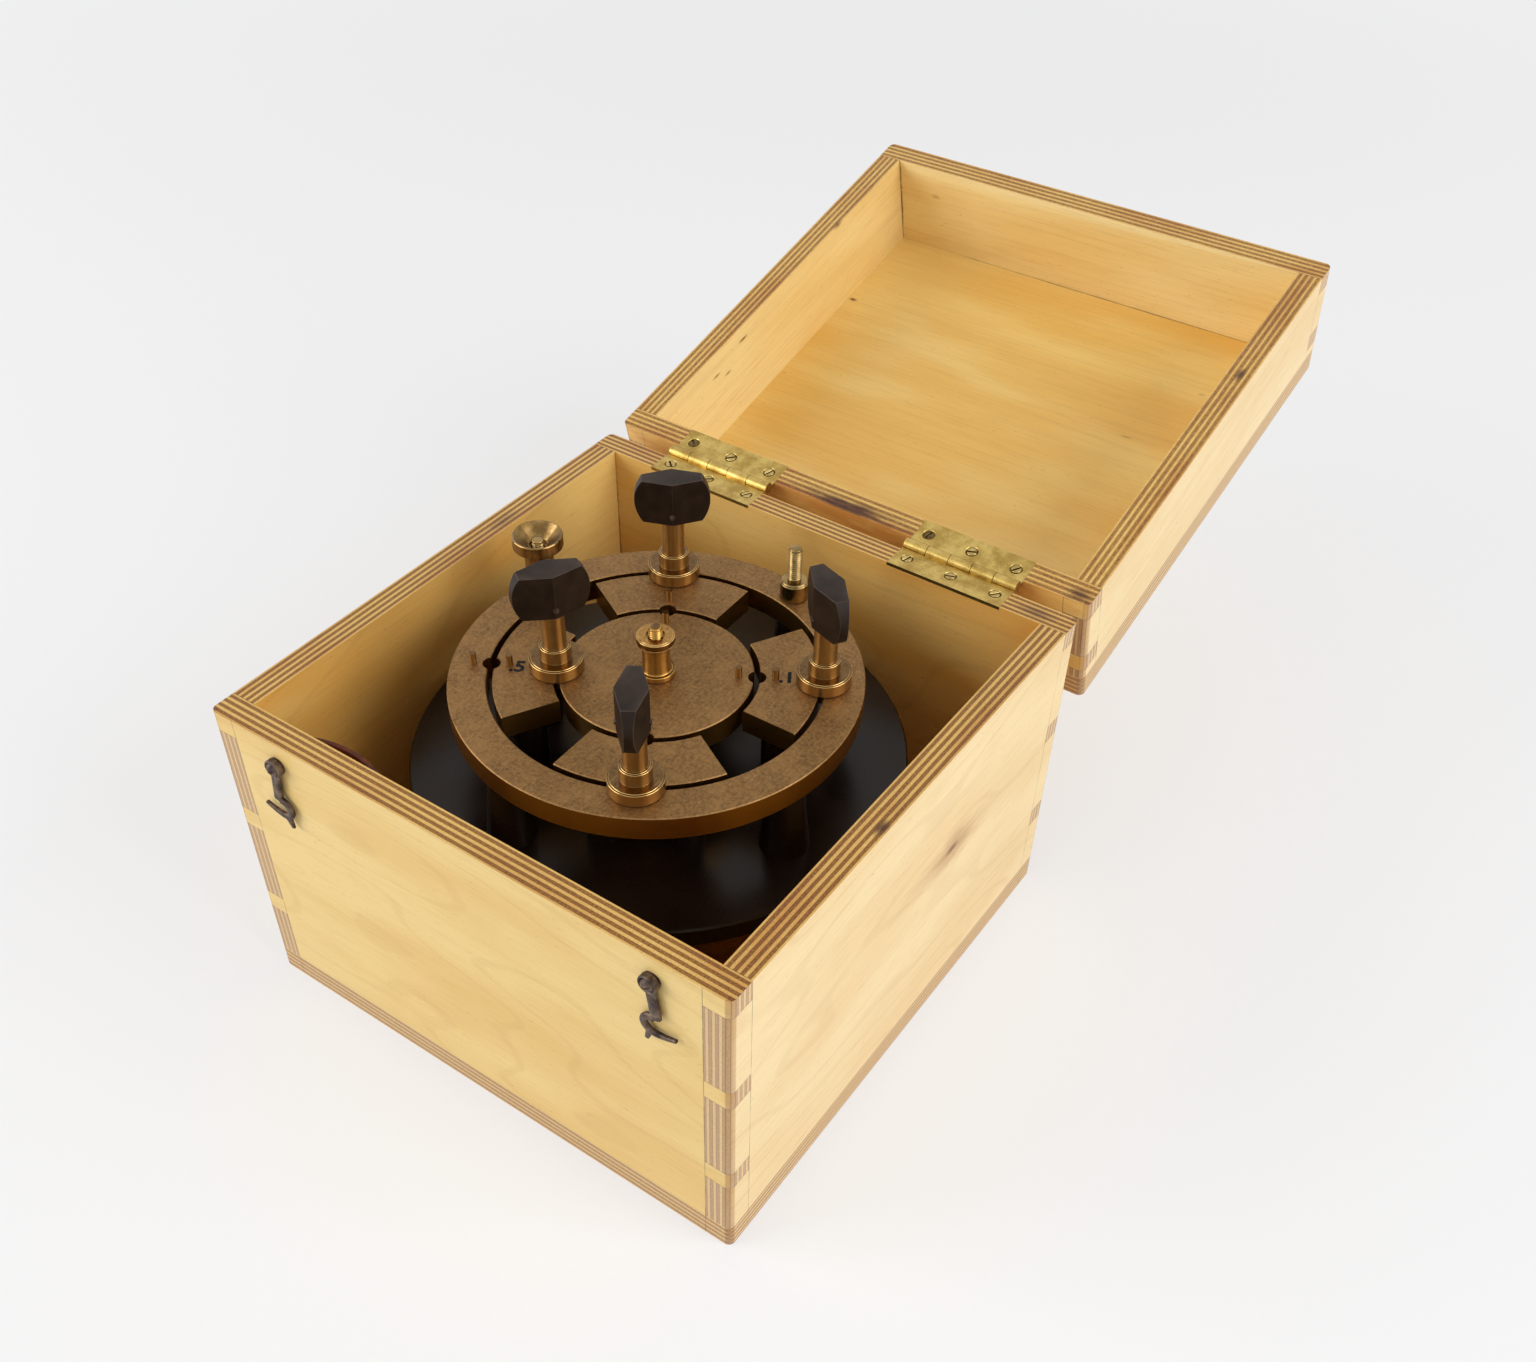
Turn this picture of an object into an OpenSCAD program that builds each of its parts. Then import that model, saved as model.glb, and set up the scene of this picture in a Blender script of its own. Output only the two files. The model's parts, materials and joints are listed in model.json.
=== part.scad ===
// Plug-switched capacitance standard in a hinged plywood box.
// The box stands on its bottom panel and the lid is shown swung open on its hinges.
// Inside stands a round case with an ebonite top, and above it, on ebonite pillars, a brass contact
// ring, four brass segments and a brass centre disc. A plug in an outer hole joins its segment to the
// ring, and a plug in an inner hole joins it to the disc.
// Millimetres. The origin is the centre of the box's underside, +X runs along the front wall,
// +Y towards the hinges and +Z up.

/* [Box] */
// Outside width of the box, along the front wall
box_w = 250; // [240:1:300]
// Outside depth of the box, from the front wall to the hinges
box_d = 250; // [240:1:300]
// Outside height of the box, without the lid
box_h = 153; // [140:1:200]
// Thickness of the plywood
ply_t = 12; // [10:0.5:15]
// Rounding of the box's and lid's upright corners
corner_r = 3; // [1:0.5:5]
// Height of each finger on the front and back walls
finger_h = 9.5; // [6:0.5:14]
// Height of the side wall's tongues between the fingers of the box
box_tongue_h = 42; // [30:1:60]

/* [Lid] */
// Outside height of the lid
lid_h = 61; // [55:1:90]
// Height of the side wall's tongues between the fingers of the lid
lid_tongue_h = 24.5; // [18:0.5:32]
// How far the lid stands open, in degrees from closed
lid_open = 166.8; // [90:0.1:178]
// Gap between the rims when the lid is closed
lid_gap = 0.5; // [0.2:0.1:1]

/* [Hinges] */
// Length of each hinge
hinge_len = 55.5; // [44:0.5:64]
// Distance of the left hinge's middle from the left side
hinge_left_in = 61.5; // [45:0.5:75]
// Distance of the right hinge's middle from the right side
hinge_right_in = 59; // [45:0.5:75]
// Thickness of the hinge leaves, let in flush with the rims
leaf_t = 1.6; // [1:0.1:2]
// Outside radius of the knuckles
knuckle_r = 2.8; // [2.4:0.1:3.4]
// Radius of the hinge pin
hinge_pin_r = 1.5; // [1:0.1:1.8]
// Distance of the hinge pin behind the back faces
knuckle_out = 4.5; // [4:0.1:6]
// Number of knuckles on each hinge
knuckles = 5; // [3:2:7]
// Distance between the screws of a leaf
hinge_screw_pitch = 21.8; // [16:0.2:23]
// Distance of the screws from the back faces
hinge_screw_in = 4.8; // [4.2:0.1:6]
// Radius of the screw heads
hinge_screw_head_r = 2.9; // [2.4:0.1:3.2]
// Radius of the screw shanks
hinge_screw_r = 1.5; // [1.2:0.1:1.8]
// Length of the screws under the leaf's face
hinge_screw_l = 14; // [8:0.5:20]

/* [Hooks] */
// Distance of the left hook's pivot from the left side
hook_left_in = 35.2; // [20:0.1:60]
// Distance of the right hook's pivot from the right side
hook_right_in = 33; // [20:0.1:60]
// Depth of the pivots below the box's rim
hook_drop = 10.8; // [8:0.1:20]
// Thickness of the hooks
hook_t = 2.2; // [1.6:0.1:3]
// Radius of the hook's eye
hook_eye_r = 4.1; // [3.8:0.1:5.5]
// Width of the hook's shank
hook_shank_w = 4.6; // [3:0.1:5]
// Length of the hook's shank, from the pivot to the bend
hook_shank_l = 16.5; // [14:0.1:20]
// Height of the hook's mouth, from the shank's end to the middle of the tail
hook_mouth_h = 9.8; // [9:0.1:12]
// Reach of the hook's tail beyond the pivot
hook_tail_l = 11.9; // [9:0.1:16]
// Width of the hook round its bend
hook_bar_w = 3.4; // [2.6:0.1:4]
// Width of the hook's tail and spur
hook_tail_w = 2.8; // [2:0.1:3.4]
// Reach of the hook's bend behind the pivot
hook_bend_out = 3.5; // [3:0.1:4.5]
// Length of the spur under the hook's heel
hook_spur_l = 5.5; // [3:0.1:7]
// Thickness of the washer behind each hook
hook_washer_t = 0.4; // [0.3:0.1:1.2]
// Radius of the washer behind each hook
hook_washer_r = 3.8; // [3:0.1:4.5]
// Radius of the hook's pivot screw
hook_screw_r = 1.6; // [1.2:0.1:2]
// Radius of the head of the pivot screws and catch studs
hook_head_r = 2.9; // [2.5:0.1:3.5]
// Radius of the catch studs on the lid
catch_r = 1.5; // [1.2:0.1:1.8]
// Length of the pivot screws and catch studs inside the plywood
hook_screw_l = 9; // [6:0.5:9.5]

/* [Strap] */
// Distance of the bowed leather strap's middle from the left wall
strap_in = 39; // [39:0.5:60]
// Half the span of the strap's bow
strap_half = 30; // [20:1:32]
// How far the strap bows out from the wall
strap_bow = 12; // [6:0.5:16]
// Thickness of the strap
strap_t = 2.2; // [1.5:0.1:3]
// Width of the strap, upright
strap_w = 28; // [15:1:40]
// Depth of the strap's upper edge below the rim
strap_drop = 12; // [8:1:30]
// Length of the strap's feet, flat on the wall
strap_foot = 7.5; // [6:0.5:8]

/* [Case] */
// Sideways place of the instrument in the box
inst_x = -0.8; // [-2:0.1:2]
// Front to back place of the instrument in the box
inst_y = -1; // [-2:0.1:2]
// How far the instrument is turned in the box, in degrees
inst_turn = 31; // [0:0.5:90]
// Room between the ebonite top and the box's walls
case_room = 8; // [6:0.5:12]
// How far the ebonite top stands out past the drum
case_overhang = 7; // [3:0.5:9]
// Thickness of the ebonite top
case_top_t = 8.5; // [7:0.5:12]
// Height of the drum
drum_h = 83; // [75:1:100]
// Thickness of the drum's wall
drum_wall = 3; // [2:0.5:4]
// Thickness of the rings inside the drum's ends
flange_t = 4; // [3:0.5:6]
// Width of the rings inside the drum's ends
flange_w = 9; // [8:0.5:10]
// Thickness of the case's base
case_base_t = 5; // [4:0.5:8]
// Number of screws through each ring
case_screws_n = 6; // [4:1:8]

/* [Contact blocks] */
// Height of the pillars between the ebonite top and the blocks
pillar_h = 29.5; // [25:0.5:36]
// Radius of the pillars at the foot
pillar_foot_r = 10.3; // [8:0.1:11]
// Radius of the pillars at the top
pillar_top_r = 7.2; // [5:0.1:7.6]
// Thickness of the ring, segments and disc
block_t = 10.5; // [10:0.5:13]
// Radius of the centre disc
disc_r = 39.6; // [37:0.1:42]
// Radial width of the segments
segment_w = 24.4; // [23:0.1:26]
// Angle that each segment covers, in degrees
segment_angle = 60; // [50:1:70]
// Radial width of the contact ring
ring_w = 15.6; // [15:0.1:18]
// Gap between neighbouring blocks
block_gap = 2.5; // [2:0.1:3]
// Chamfer along the round edges of the blocks
block_edge = 0.4; // [0.2:0.1:0.8]
// Angle of each of a segment's two pillars from its middle, in degrees
segment_pillar_turn = 17; // [15:0.5:19]
// Angle of the ring's pillars and terminals from the segments, in degrees
ring_pillar_turn = 46.5; // [40:0.5:50]
// Radius of the bolts through the pillars
bolt_r = 2.5; // [2:0.1:3]
// How far the bolts reach into the blocks
bolt_bite = 4; // [3:0.1:4.5]
// Radius of the locating pins
pin_r = 1.4; // [1:0.1:1.6]
// Height of the locating pins above the blocks
pin_h = 5; // [4:0.1:6]
// Distance of the locating pins from the middle of their plug hole
pin_out = 7.5; // [7.3:0.1:8]
// How far the locating pins go into the blocks
pin_bite = 4; // [3:0.5:6]

/* [Plugs] */
// Radius of the plug's taper at the top of the hole
taper_top_r = 3.7; // [3.2:0.1:3.9]
// Radius of the plug's taper at its tip
taper_tip_r = 3.2; // [2.6:0.1:3.5]
// Length of the plug's taper
taper_l = 9.5; // [8:0.1:9.8]
// Radius of the plug's flange
plug_flange_r = 11.2; // [11:0.1:12]
// Thickness of the flange's top over the groove that clears the locating pins
flange_skin = 0.6; // [0.4:0.1:1.2]
// Radius of the plug's collar
collar_r = 6.5; // [5.8:0.1:7.5]
// Height of the collar above the flange
collar_h = 6.1; // [4:0.1:8]
// Radius of the plug's stem
stem_r = 4.8; // [4.2:0.1:5.6]
// Height of the stem above the collar
stem_h = 16.7; // [12:0.1:20]
// Radius of the stem's tang inside the handle
tang_r = 3.2; // [2.6:0.1:3.6]
// Length of the tang inside the handle
tang_l = 12; // [9:0.5:15]
// Width of the handle
handle_w = 32; // [28:0.5:38]
// Height of the handle
handle_h = 20; // [18:0.5:24]
// Thickness of the handle at its middle ridges
handle_ridge_t = 13; // [11:0.1:15]
// Thickness of the handle at its ends
handle_end_t = 5.3; // [4:0.1:7]
// Radius of the pin through the handle and tang
cross_pin_r = 1.2; // [0.8:0.1:1.5]
// Height of that pin above the handle's underside
cross_pin_up = 4.2; // [3:0.1:6]
// How far that pin stands out of the ridges
cross_pin_out = 0.4; // [0.2:0.1:1]

/* [Terminals] */
// Radius of the terminals' bodies
post_r = 6.2; // [5:0.1:6.8]
// Height of the ring terminals' bodies
post_h = 9; // [7:0.1:12]
// Radius of the threaded studs
stud_r = 3; // [2.5:0.1:3.5]
// Height of the ring terminals' studs above their bodies
stud_h = 16; // [15:0.1:20]
// How far each terminal's spigot goes into its block
spigot_l = 5; // [4:0.1:5.2]
// Radius of the centre post's foot
centre_foot_r = 7.8; // [7:0.1:9]
// Height of the centre post's foot
centre_foot_h = 2.6; // [2:0.1:4]
// Height of the centre post's body above its foot
centre_body_h = 13.2; // [10:0.1:16]
// Height of the centre stud above its body
centre_stud_h = 7.6; // [6.6:0.1:10]
// Radius of the centre post's cap nut
cap_nut_r = 7.9; // [7:0.1:9]
// Thickness of the cap nut
cap_nut_t = 3.4; // [2.5:0.1:4.5]
// Radius of the dished thumb nut
dish_nut_r = 10.8; // [10:0.1:12]
// Height of the thumb nut's hub
dish_hub_h = 12.4; // [11.5:0.1:13]
// Height of the thumb nut's rim
dish_rim_h = 5.8; // [5:0.1:7]
// Depth of the thumb nut's dish
dish_depth = 4; // [3:0.1:5]

/* [Mica stacks] */
// Distance of the stacks' inner faces from the middle of the case
stack_in = 34; // [33:0.5:37]
// Radial depth of each mica stack
stack_deep = 30; // [26:0.5:31]
// Width of each mica stack
stack_wide = 44; // [36:0.5:46]
// Height of each mica stack
stack_high = 44; // [36:0.5:50]
// Thickness of the clamp plates above and below each stack
clamp_t = 4; // [3:0.5:6]
// Width of the clamp plates
clamp_wide = 64; // [60:0.5:65]
// How far the clamp plates stand out past the stacks
clamp_ledge = 6; // [5:0.5:7]
// Radius of the clamp bolts
clamp_bolt_r = 2; // [1.5:0.1:2.5]
// Radius of the lead rods
lead_r = 1.5; // [1:0.1:2]
// Thickness of the common lead's ring
common_t = 1; // [0.6:0.1:1.5]

/* [Clearances] */
// Radial clearance of pins, studs and tapers that turn or slide
run_fit = 0.05; // [0.02:0.01:0.1]
// Clearance round pieces that are fixed in their holes
fix_fit = 0.03; // [0.01:0.01:0.1]
// Gap between faces of pieces that move past each other
move_gap = 0.3; // [0.2:0.05:0.5]
// Gap under a seated plug's flange
seat_gap = 0.2; // [0.1:0.05:0.3]

/* [Hidden] */
$fn = 96;
more = 1;

SIDES = [0, 1, 2, 3];
// Quarter turns of the right, back, left and front segment
RIGHT = 0;
BACK = 1;
LEFT = 2;
FRONT = 3;
// True where that segment's plug is in its outer hole
plug_outer = [true, true, false, true];
// How far each plug's handle is turned, in degrees
handle_turn = [-65, -83, 27, 2];
// How far each screw's slot is turned, in degrees
slot_turns = [-42, 38, 63, 75, 20, 50];

inner_w = box_w - 2 * ply_t;
inner_d = box_d - 2 * ply_t;
right_x = box_w / 2;
left_x = -box_w / 2;
back_y = box_d / 2;
front_y = -box_d / 2;
hinge_left_x = left_x + hinge_left_in;
hinge_right_x = right_x - hinge_right_in;
hinge_y = back_y + knuckle_out;
hinge_z = box_h + lid_gap / 2;
lid_rim_z = box_h + lid_gap;
box_wall_h = box_h - ply_t;
lid_wall_h = lid_h - ply_t;

// Slots of the screws
slot_w = 0.8;
slot_deep = 0.7;
slot_l = 20;

hook_left_x = left_x + hook_left_in;
hook_right_x = right_x - hook_right_in;
hook_z = box_h - hook_drop;
hook_head_h = 1.8;
hook_steps = 10;
hook_slot_turn = 25;
hook_face_y = front_y - hook_washer_t;
hook_tail_z = -hook_shank_l - hook_mouth_h;
// Where a catch stud sits in the mouth of a hanging hook, from the pivot
catch_x = 1.2;
catch_z = -hook_shank_l - 0.57 * hook_mouth_h;

strap_x = left_x + ply_t + strap_in;
strap_tack_xs = [for (s = [-1, 1]) strap_x + s * (strap_half + strap_foot / 2)];
strap_tack_z = box_h - strap_drop - strap_w / 2;
tack_r = 0.9;
tack_l = 8;
tack_head_r = 2.4;
tack_head_h = 0.8;

case_top_r = min(inner_w, inner_d) / 2 - case_room;
drum_r = case_top_r - case_overhang;
drum_in_r = drum_r - drum_wall;
flange_mid_r = drum_in_r - flange_w / 2;
drum_z = case_base_t;
top_z = drum_z + drum_h;
pillar_z = top_z + case_top_t;
block_z = pillar_z + pillar_h;
contact_z = block_z + block_t;

segment_in_r = disc_r + block_gap;
segment_out_r = segment_in_r + segment_w;
ring_in_r = segment_out_r + block_gap;
ring_out_r = ring_in_r + ring_w;
ring_mid_r = ring_in_r + ring_w / 2;
segment_mid_r = segment_in_r + segment_w / 2;
inner_hole_r = disc_r + block_gap / 2;
outer_hole_r = segment_out_r + block_gap / 2;

bolt_head_h = 3.5;
bolt_head_r = 4.6;
screw_r = 1.8;
screw_head_r = 3.4;
screw_head_h = 2.2;
screw_bite = 5;

groove_in_r = pin_out - pin_r - move_gap;
groove_out_r = pin_out + pin_r + move_gap;
groove_z = pin_h + move_gap;
plug_flange_z = groove_z + flange_skin;
collar_z = plug_flange_z + collar_h;
handle_z = collar_z + stem_h;
nut_bore_r = stud_r + run_fit;
centre_nut_z = centre_foot_h + centre_body_h + run_fit;
dish_nut_z = post_h + run_fit;

clamp_deep = stack_deep + clamp_ledge;
clamp_top_z = case_base_t + 2 * clamp_t + stack_high;
clamp_bolt_y = (stack_wide + clamp_wide) / 4;
clamp_bolt_x = stack_in + stack_deep / 2;
common_in_r = norm([stack_in + stack_deep, stack_wide / 2]) + more;
common_out_r = ring_mid_r + 2 * lead_r;
bolt_end_z = top_z - bolt_head_h;

ply_colour = "#e6c47c";
hinge_colour = "#b59a4d";
bronze_colour = "#57473f";
leather_colour = "#6b3422";
ebonite_colour = "#26211f";
block_colour = "#8c6c3a";
brass_colour = "#a67c3a";
mica_colour = "#b9a884";

// Places

// Moves its children from where they are with the lid closed to where the open lid has them
module on_lid() {
    translate([0, hinge_y, hinge_z])
        rotate([-lid_open, 0, 0])
            translate([0, -hinge_y, -hinge_z])
                children();
}

// Turns a piece of the box's rim over, onto the rim of the closed lid
module over_rim() {
    translate([0, 0, 2 * hinge_z])
        mirror([0, 0, 1])
            children();
}

module on_instrument() {
    translate([inst_x, inst_y, ply_t])
        rotate([0, 0, inst_turn])
            children();
}

module polar(turn, r, z = 0) {
    rotate([0, 0, turn])
        translate([r, 0, z])
            children();
}

module on_blocks(turn, r) {
    on_instrument()
        polar(turn, r, contact_z)
            children();
}

module at_plug(side) {
    on_blocks(90 * side, plug_outer[side] ? outer_hole_r : inner_hole_r)
        children();
}

module on_front(x, y, z) {
    translate([x, y, z])
        rotate([90, 0, 0])
            children();
}

module at_hinge_screws(x) {
    for (i = [-1, 0, 1])
        translate([x + i * hinge_screw_pitch, back_y - hinge_screw_in, box_h])
            children();
}

// Common shapes

module tube(out_r, in_r, h) {
    difference() {
        cylinder(r = out_r, h = h);
        translate([0, 0, -more])
            cylinder(r = in_r, h = h + 2 * more);
    }
}

// A body with chamfered round edges, turned from its half section
module turned_block(in_r, out_r, h, edge, angle = 360) {
    in_edge = in_r > 0 ? edge : 0;
    rotate([0, 0, -angle / 2])
        rotate_extrude(angle = angle)
            polygon([
                [in_r, 0], [out_r, 0], [out_r, h - edge], [out_r - edge, h],
                [in_r + in_edge, h], [in_r, h - in_edge]
            ]);
}

// A countersunk screw with its head's face at the origin, pointing down, grown all round by a clearance
module countersunk(head_r, shank_r, length, grow = 0) {
    head_h = head_r - shank_r;
    translate([0, 0, -head_h - grow])
        cylinder(r1 = shank_r + grow, r2 = head_r + 2 * grow, h = head_h + grow);
    translate([0, 0, -length - grow])
        cylinder(r = shank_r + grow, h = length - head_h + grow);
}

// Its children with a screwdriver slot across the face at the origin
module slotted(turn) {
    difference() {
        children();
        rotate([0, 0, turn])
            translate([-slot_l / 2, -slot_w / 2, -slot_deep])
                cube([slot_l, slot_w, slot_deep + 3 * more]);
    }
}

// A round-headed screw lying on the face at the origin, with its shank going down
module round_head(head_r, head_h, shank_r, above, below) {
    ball_r = (head_r * head_r + head_h * head_h) / (2 * head_h);
    translate([0, 0, -below])
        cylinder(r = shank_r, h = above + below);
    translate([0, 0, above])
        intersection() {
            cylinder(r = head_r, h = head_h);
            translate([0, 0, head_h - ball_r])
                sphere(r = ball_r);
        }
}

// Plywood walls with finger joints

// A prism with the box's outline and rounded upright corners
module rounded_prism(z, h) {
    for (grow = [[0, corner_r], [corner_r, 0]])
        translate([-box_w / 2 + grow[0], -box_d / 2 + grow[1], z])
            cube([box_w - 2 * grow[0], box_d - 2 * grow[1], h]);
    for (x = [-1, 1], y = [-1, 1])
        translate([x * (box_w / 2 - corner_r), y * (box_d / 2 - corner_r), z])
            cylinder(r = corner_r, h = h);
}

// The upper end of each finger, measured from the rim
function finger_starts(wall_h, tongue_h) = [for (d = 0; d < wall_h; d = d + finger_h + tongue_h) d];

// The four corner columns that the walls share, filled where the front and back walls have fingers
module finger_cells(rim_z, wall_h, tongue_h, down) {
    for (d = finger_starts(wall_h, tongue_h), x = [-1, 1], y = [-1, 1]) {
        cell_h = min(finger_h, wall_h - d);
        translate([
            x * (box_w / 2 - ply_t / 2) - ply_t / 2,
            y * (box_d / 2 - ply_t / 2) - ply_t / 2,
            down > 0 ? rim_z - d - cell_h : rim_z + d
        ])
            cube([ply_t, ply_t, cell_h]);
    }
}

// A front wall (side -1) or back wall (side 1), with its fingers running through to the side faces
module long_wall(side, rim_z, wall_h, tongue_h, down) {
    low_z = down > 0 ? rim_z - wall_h : rim_z;
    y = side < 0 ? front_y : back_y - ply_t;
    intersection() {
        rounded_prism(low_z - more, wall_h + 2 * more);
        translate([left_x, y, low_z])
            cube([box_w, ply_t, wall_h]);
        union() {
            translate([-inner_w / 2, y, low_z])
                cube([inner_w, ply_t, wall_h]);
            finger_cells(rim_z, wall_h, tongue_h, down);
        }
    }
}

// A left wall (side -1) or right wall (side 1), with tongues between the fingers
module short_wall(side, rim_z, wall_h, tongue_h, down) {
    low_z = down > 0 ? rim_z - wall_h : rim_z;
    x = side < 0 ? left_x : right_x - ply_t;
    intersection() {
        rounded_prism(low_z - more, wall_h + 2 * more);
        difference() {
            translate([x, front_y, low_z])
                cube([ply_t, box_d, wall_h]);
            finger_cells(rim_z, wall_h, tongue_h, down);
        }
    }
}

module box_wall_long(side) {
    long_wall(side, box_h, box_wall_h, box_tongue_h, 1);
}

module box_wall_short(side) {
    short_wall(side, box_h, box_wall_h, box_tongue_h, 1);
}

module lid_wall_long(side) {
    long_wall(side, lid_rim_z, lid_wall_h, lid_tongue_h, -1);
}

module lid_wall_short(side) {
    short_wall(side, lid_rim_z, lid_wall_h, lid_tongue_h, -1);
}

// Recesses in the box's back rim for both leaves and their screws
module hinge_recesses() {
    for (x = [hinge_left_x, hinge_right_x]) {
        translate([x - hinge_len / 2 - fix_fit, back_y - ply_t - more, box_h - leaf_t])
            cube([hinge_len + 2 * fix_fit, ply_t + 2 * more, leaf_t + more]);
        at_hinge_screws(x)
            countersunk(hinge_screw_head_r, hinge_screw_r, hinge_screw_l, fix_fit);
    }
}

module box_bottom() {
    color(ply_colour)
        rounded_prism(0, ply_t);
}

module box_front_wall() {
    color(ply_colour)
        difference() {
            box_wall_long(-1);
            for (x = [hook_left_x, hook_right_x])
                on_front(x, front_y + hook_screw_l + fix_fit, hook_z)
                    cylinder(r = hook_screw_r + fix_fit, h = hook_screw_l + more);
            for (x = strap_tack_xs)
                on_front(x, front_y + ply_t + more, strap_tack_z)
                    cylinder(r = tack_r + fix_fit, h = tack_l + more + fix_fit);
        }
}

module box_back_wall() {
    color(ply_colour)
        difference() {
            box_wall_long(1);
            hinge_recesses();
        }
}

module box_left_wall() {
    color(ply_colour)
        box_wall_short(-1);
}

module box_right_wall() {
    color(ply_colour)
        box_wall_short(1);
}

module lid_top() {
    color(ply_colour)
        on_lid()
            rounded_prism(lid_rim_z + lid_wall_h, ply_t);
}

module lid_front_wall() {
    color(ply_colour)
        on_lid()
            difference() {
                lid_wall_long(-1);
                at_catches()
                    translate([0, 0, -hook_screw_l - fix_fit])
                        cylinder(r = catch_r + fix_fit, h = hook_screw_l + more);
            }
}

module lid_back_wall() {
    color(ply_colour)
        on_lid()
            difference() {
                lid_wall_long(1);
                over_rim()
                    hinge_recesses();
            }
}

module lid_left_wall() {
    color(ply_colour)
        on_lid()
            lid_wall_short(-1);
}

module lid_right_wall() {
    color(ply_colour)
        on_lid()
            lid_wall_short(1);
}

// Hinges

// One leaf on the box's rim. The knuckles whose number has the given remainder belong to it
module hinge_leaf(x, odd) {
    pitch = hinge_len / knuckles;
    plate_d = ply_t + knuckle_out - knuckle_r - move_gap;
    difference() {
        union() {
            translate([x - hinge_len / 2, back_y - ply_t, box_h - leaf_t])
                cube([hinge_len, plate_d, leaf_t]);
            for (i = [0 : knuckles - 1])
                if (i % 2 == odd)
                    leaf_knuckle(x - hinge_len / 2 + i * pitch, pitch, i);
        }
        at_hinge_screws(x)
            countersunk(hinge_screw_head_r, hinge_screw_r, hinge_screw_l, fix_fit);
        translate([x - hinge_len / 2 - more, hinge_y, hinge_z])
            rotate([0, 90, 0])
                cylinder(r = hinge_pin_r + run_fit, h = hinge_len + 2 * more);
    }
}

// A knuckle and the strip of the leaf that is rolled into it
module leaf_knuckle(x, pitch, i) {
    low = i > 0 ? move_gap / 2 : 0;
    high = i < knuckles - 1 ? move_gap / 2 : 0;
    length = pitch - low - high;
    translate([x + low, hinge_y, hinge_z])
        rotate([0, 90, 0])
            cylinder(r = knuckle_r, h = length);
    translate([x + low, back_y - ply_t, box_h - leaf_t])
        cube([length, ply_t + knuckle_out, leaf_t]);
}

module hinge_left_box_leaf() {
    color(hinge_colour)
        hinge_leaf(hinge_left_x, 1);
}

module hinge_right_box_leaf() {
    color(hinge_colour)
        hinge_leaf(hinge_right_x, 1);
}

module hinge_left_lid_leaf() {
    color(hinge_colour)
        on_lid()
            over_rim()
                hinge_leaf(hinge_left_x, 0);
}

module hinge_right_lid_leaf() {
    color(hinge_colour)
        on_lid()
            over_rim()
                hinge_leaf(hinge_right_x, 0);
}

module hinge_pins() {
    color(hinge_colour)
        for (x = [hinge_left_x, hinge_right_x])
            translate([x - hinge_len / 2, hinge_y, hinge_z])
                rotate([0, 90, 0])
                    cylinder(r = hinge_pin_r, h = hinge_len);
}

module leaf_screws() {
    for (side = [0, 1], i = [0, 1, 2])
        translate([
            (side == 0 ? hinge_left_x : hinge_right_x) + (i - 1) * hinge_screw_pitch,
            back_y - hinge_screw_in,
            box_h
        ])
            slotted(slot_turns[3 * side + i])
                countersunk(hinge_screw_head_r, hinge_screw_r, hinge_screw_l);
}

module box_hinge_screws() {
    color(hinge_colour)
        leaf_screws();
}

module lid_hinge_screws() {
    color(hinge_colour)
        on_lid()
            over_rim()
                leaf_screws();
}

// Hooks and catches

// A point on a cubic curve, and the unit vector to the left of its way there
function curve_point(p, t) =
    pow(1 - t, 3) * p[0] + 3 * pow(1 - t, 2) * t * p[1] + 3 * (1 - t) * t * t * p[2] + pow(t, 3) * p[3];
function curve_run(p, t) =
    pow(1 - t, 2) * (p[1] - p[0]) + 2 * (1 - t) * t * (p[2] - p[1]) + t * t * (p[3] - p[2]);
function curve_left(p, t) = [-curve_run(p, t)[1], curve_run(p, t)[0]] / norm(curve_run(p, t));

// One side of a bar that follows a curve, with half its width going from w0 to w1 and s for the side
function bar_side(p, from, to, w0, w1, s) = [
    for (i = [0 : hook_steps])
        let (t = from + (to - from) * i / hook_steps)
            curve_point(p, t) + s * (w0 + (w1 - w0) * t) * curve_left(p, t)
];

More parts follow.
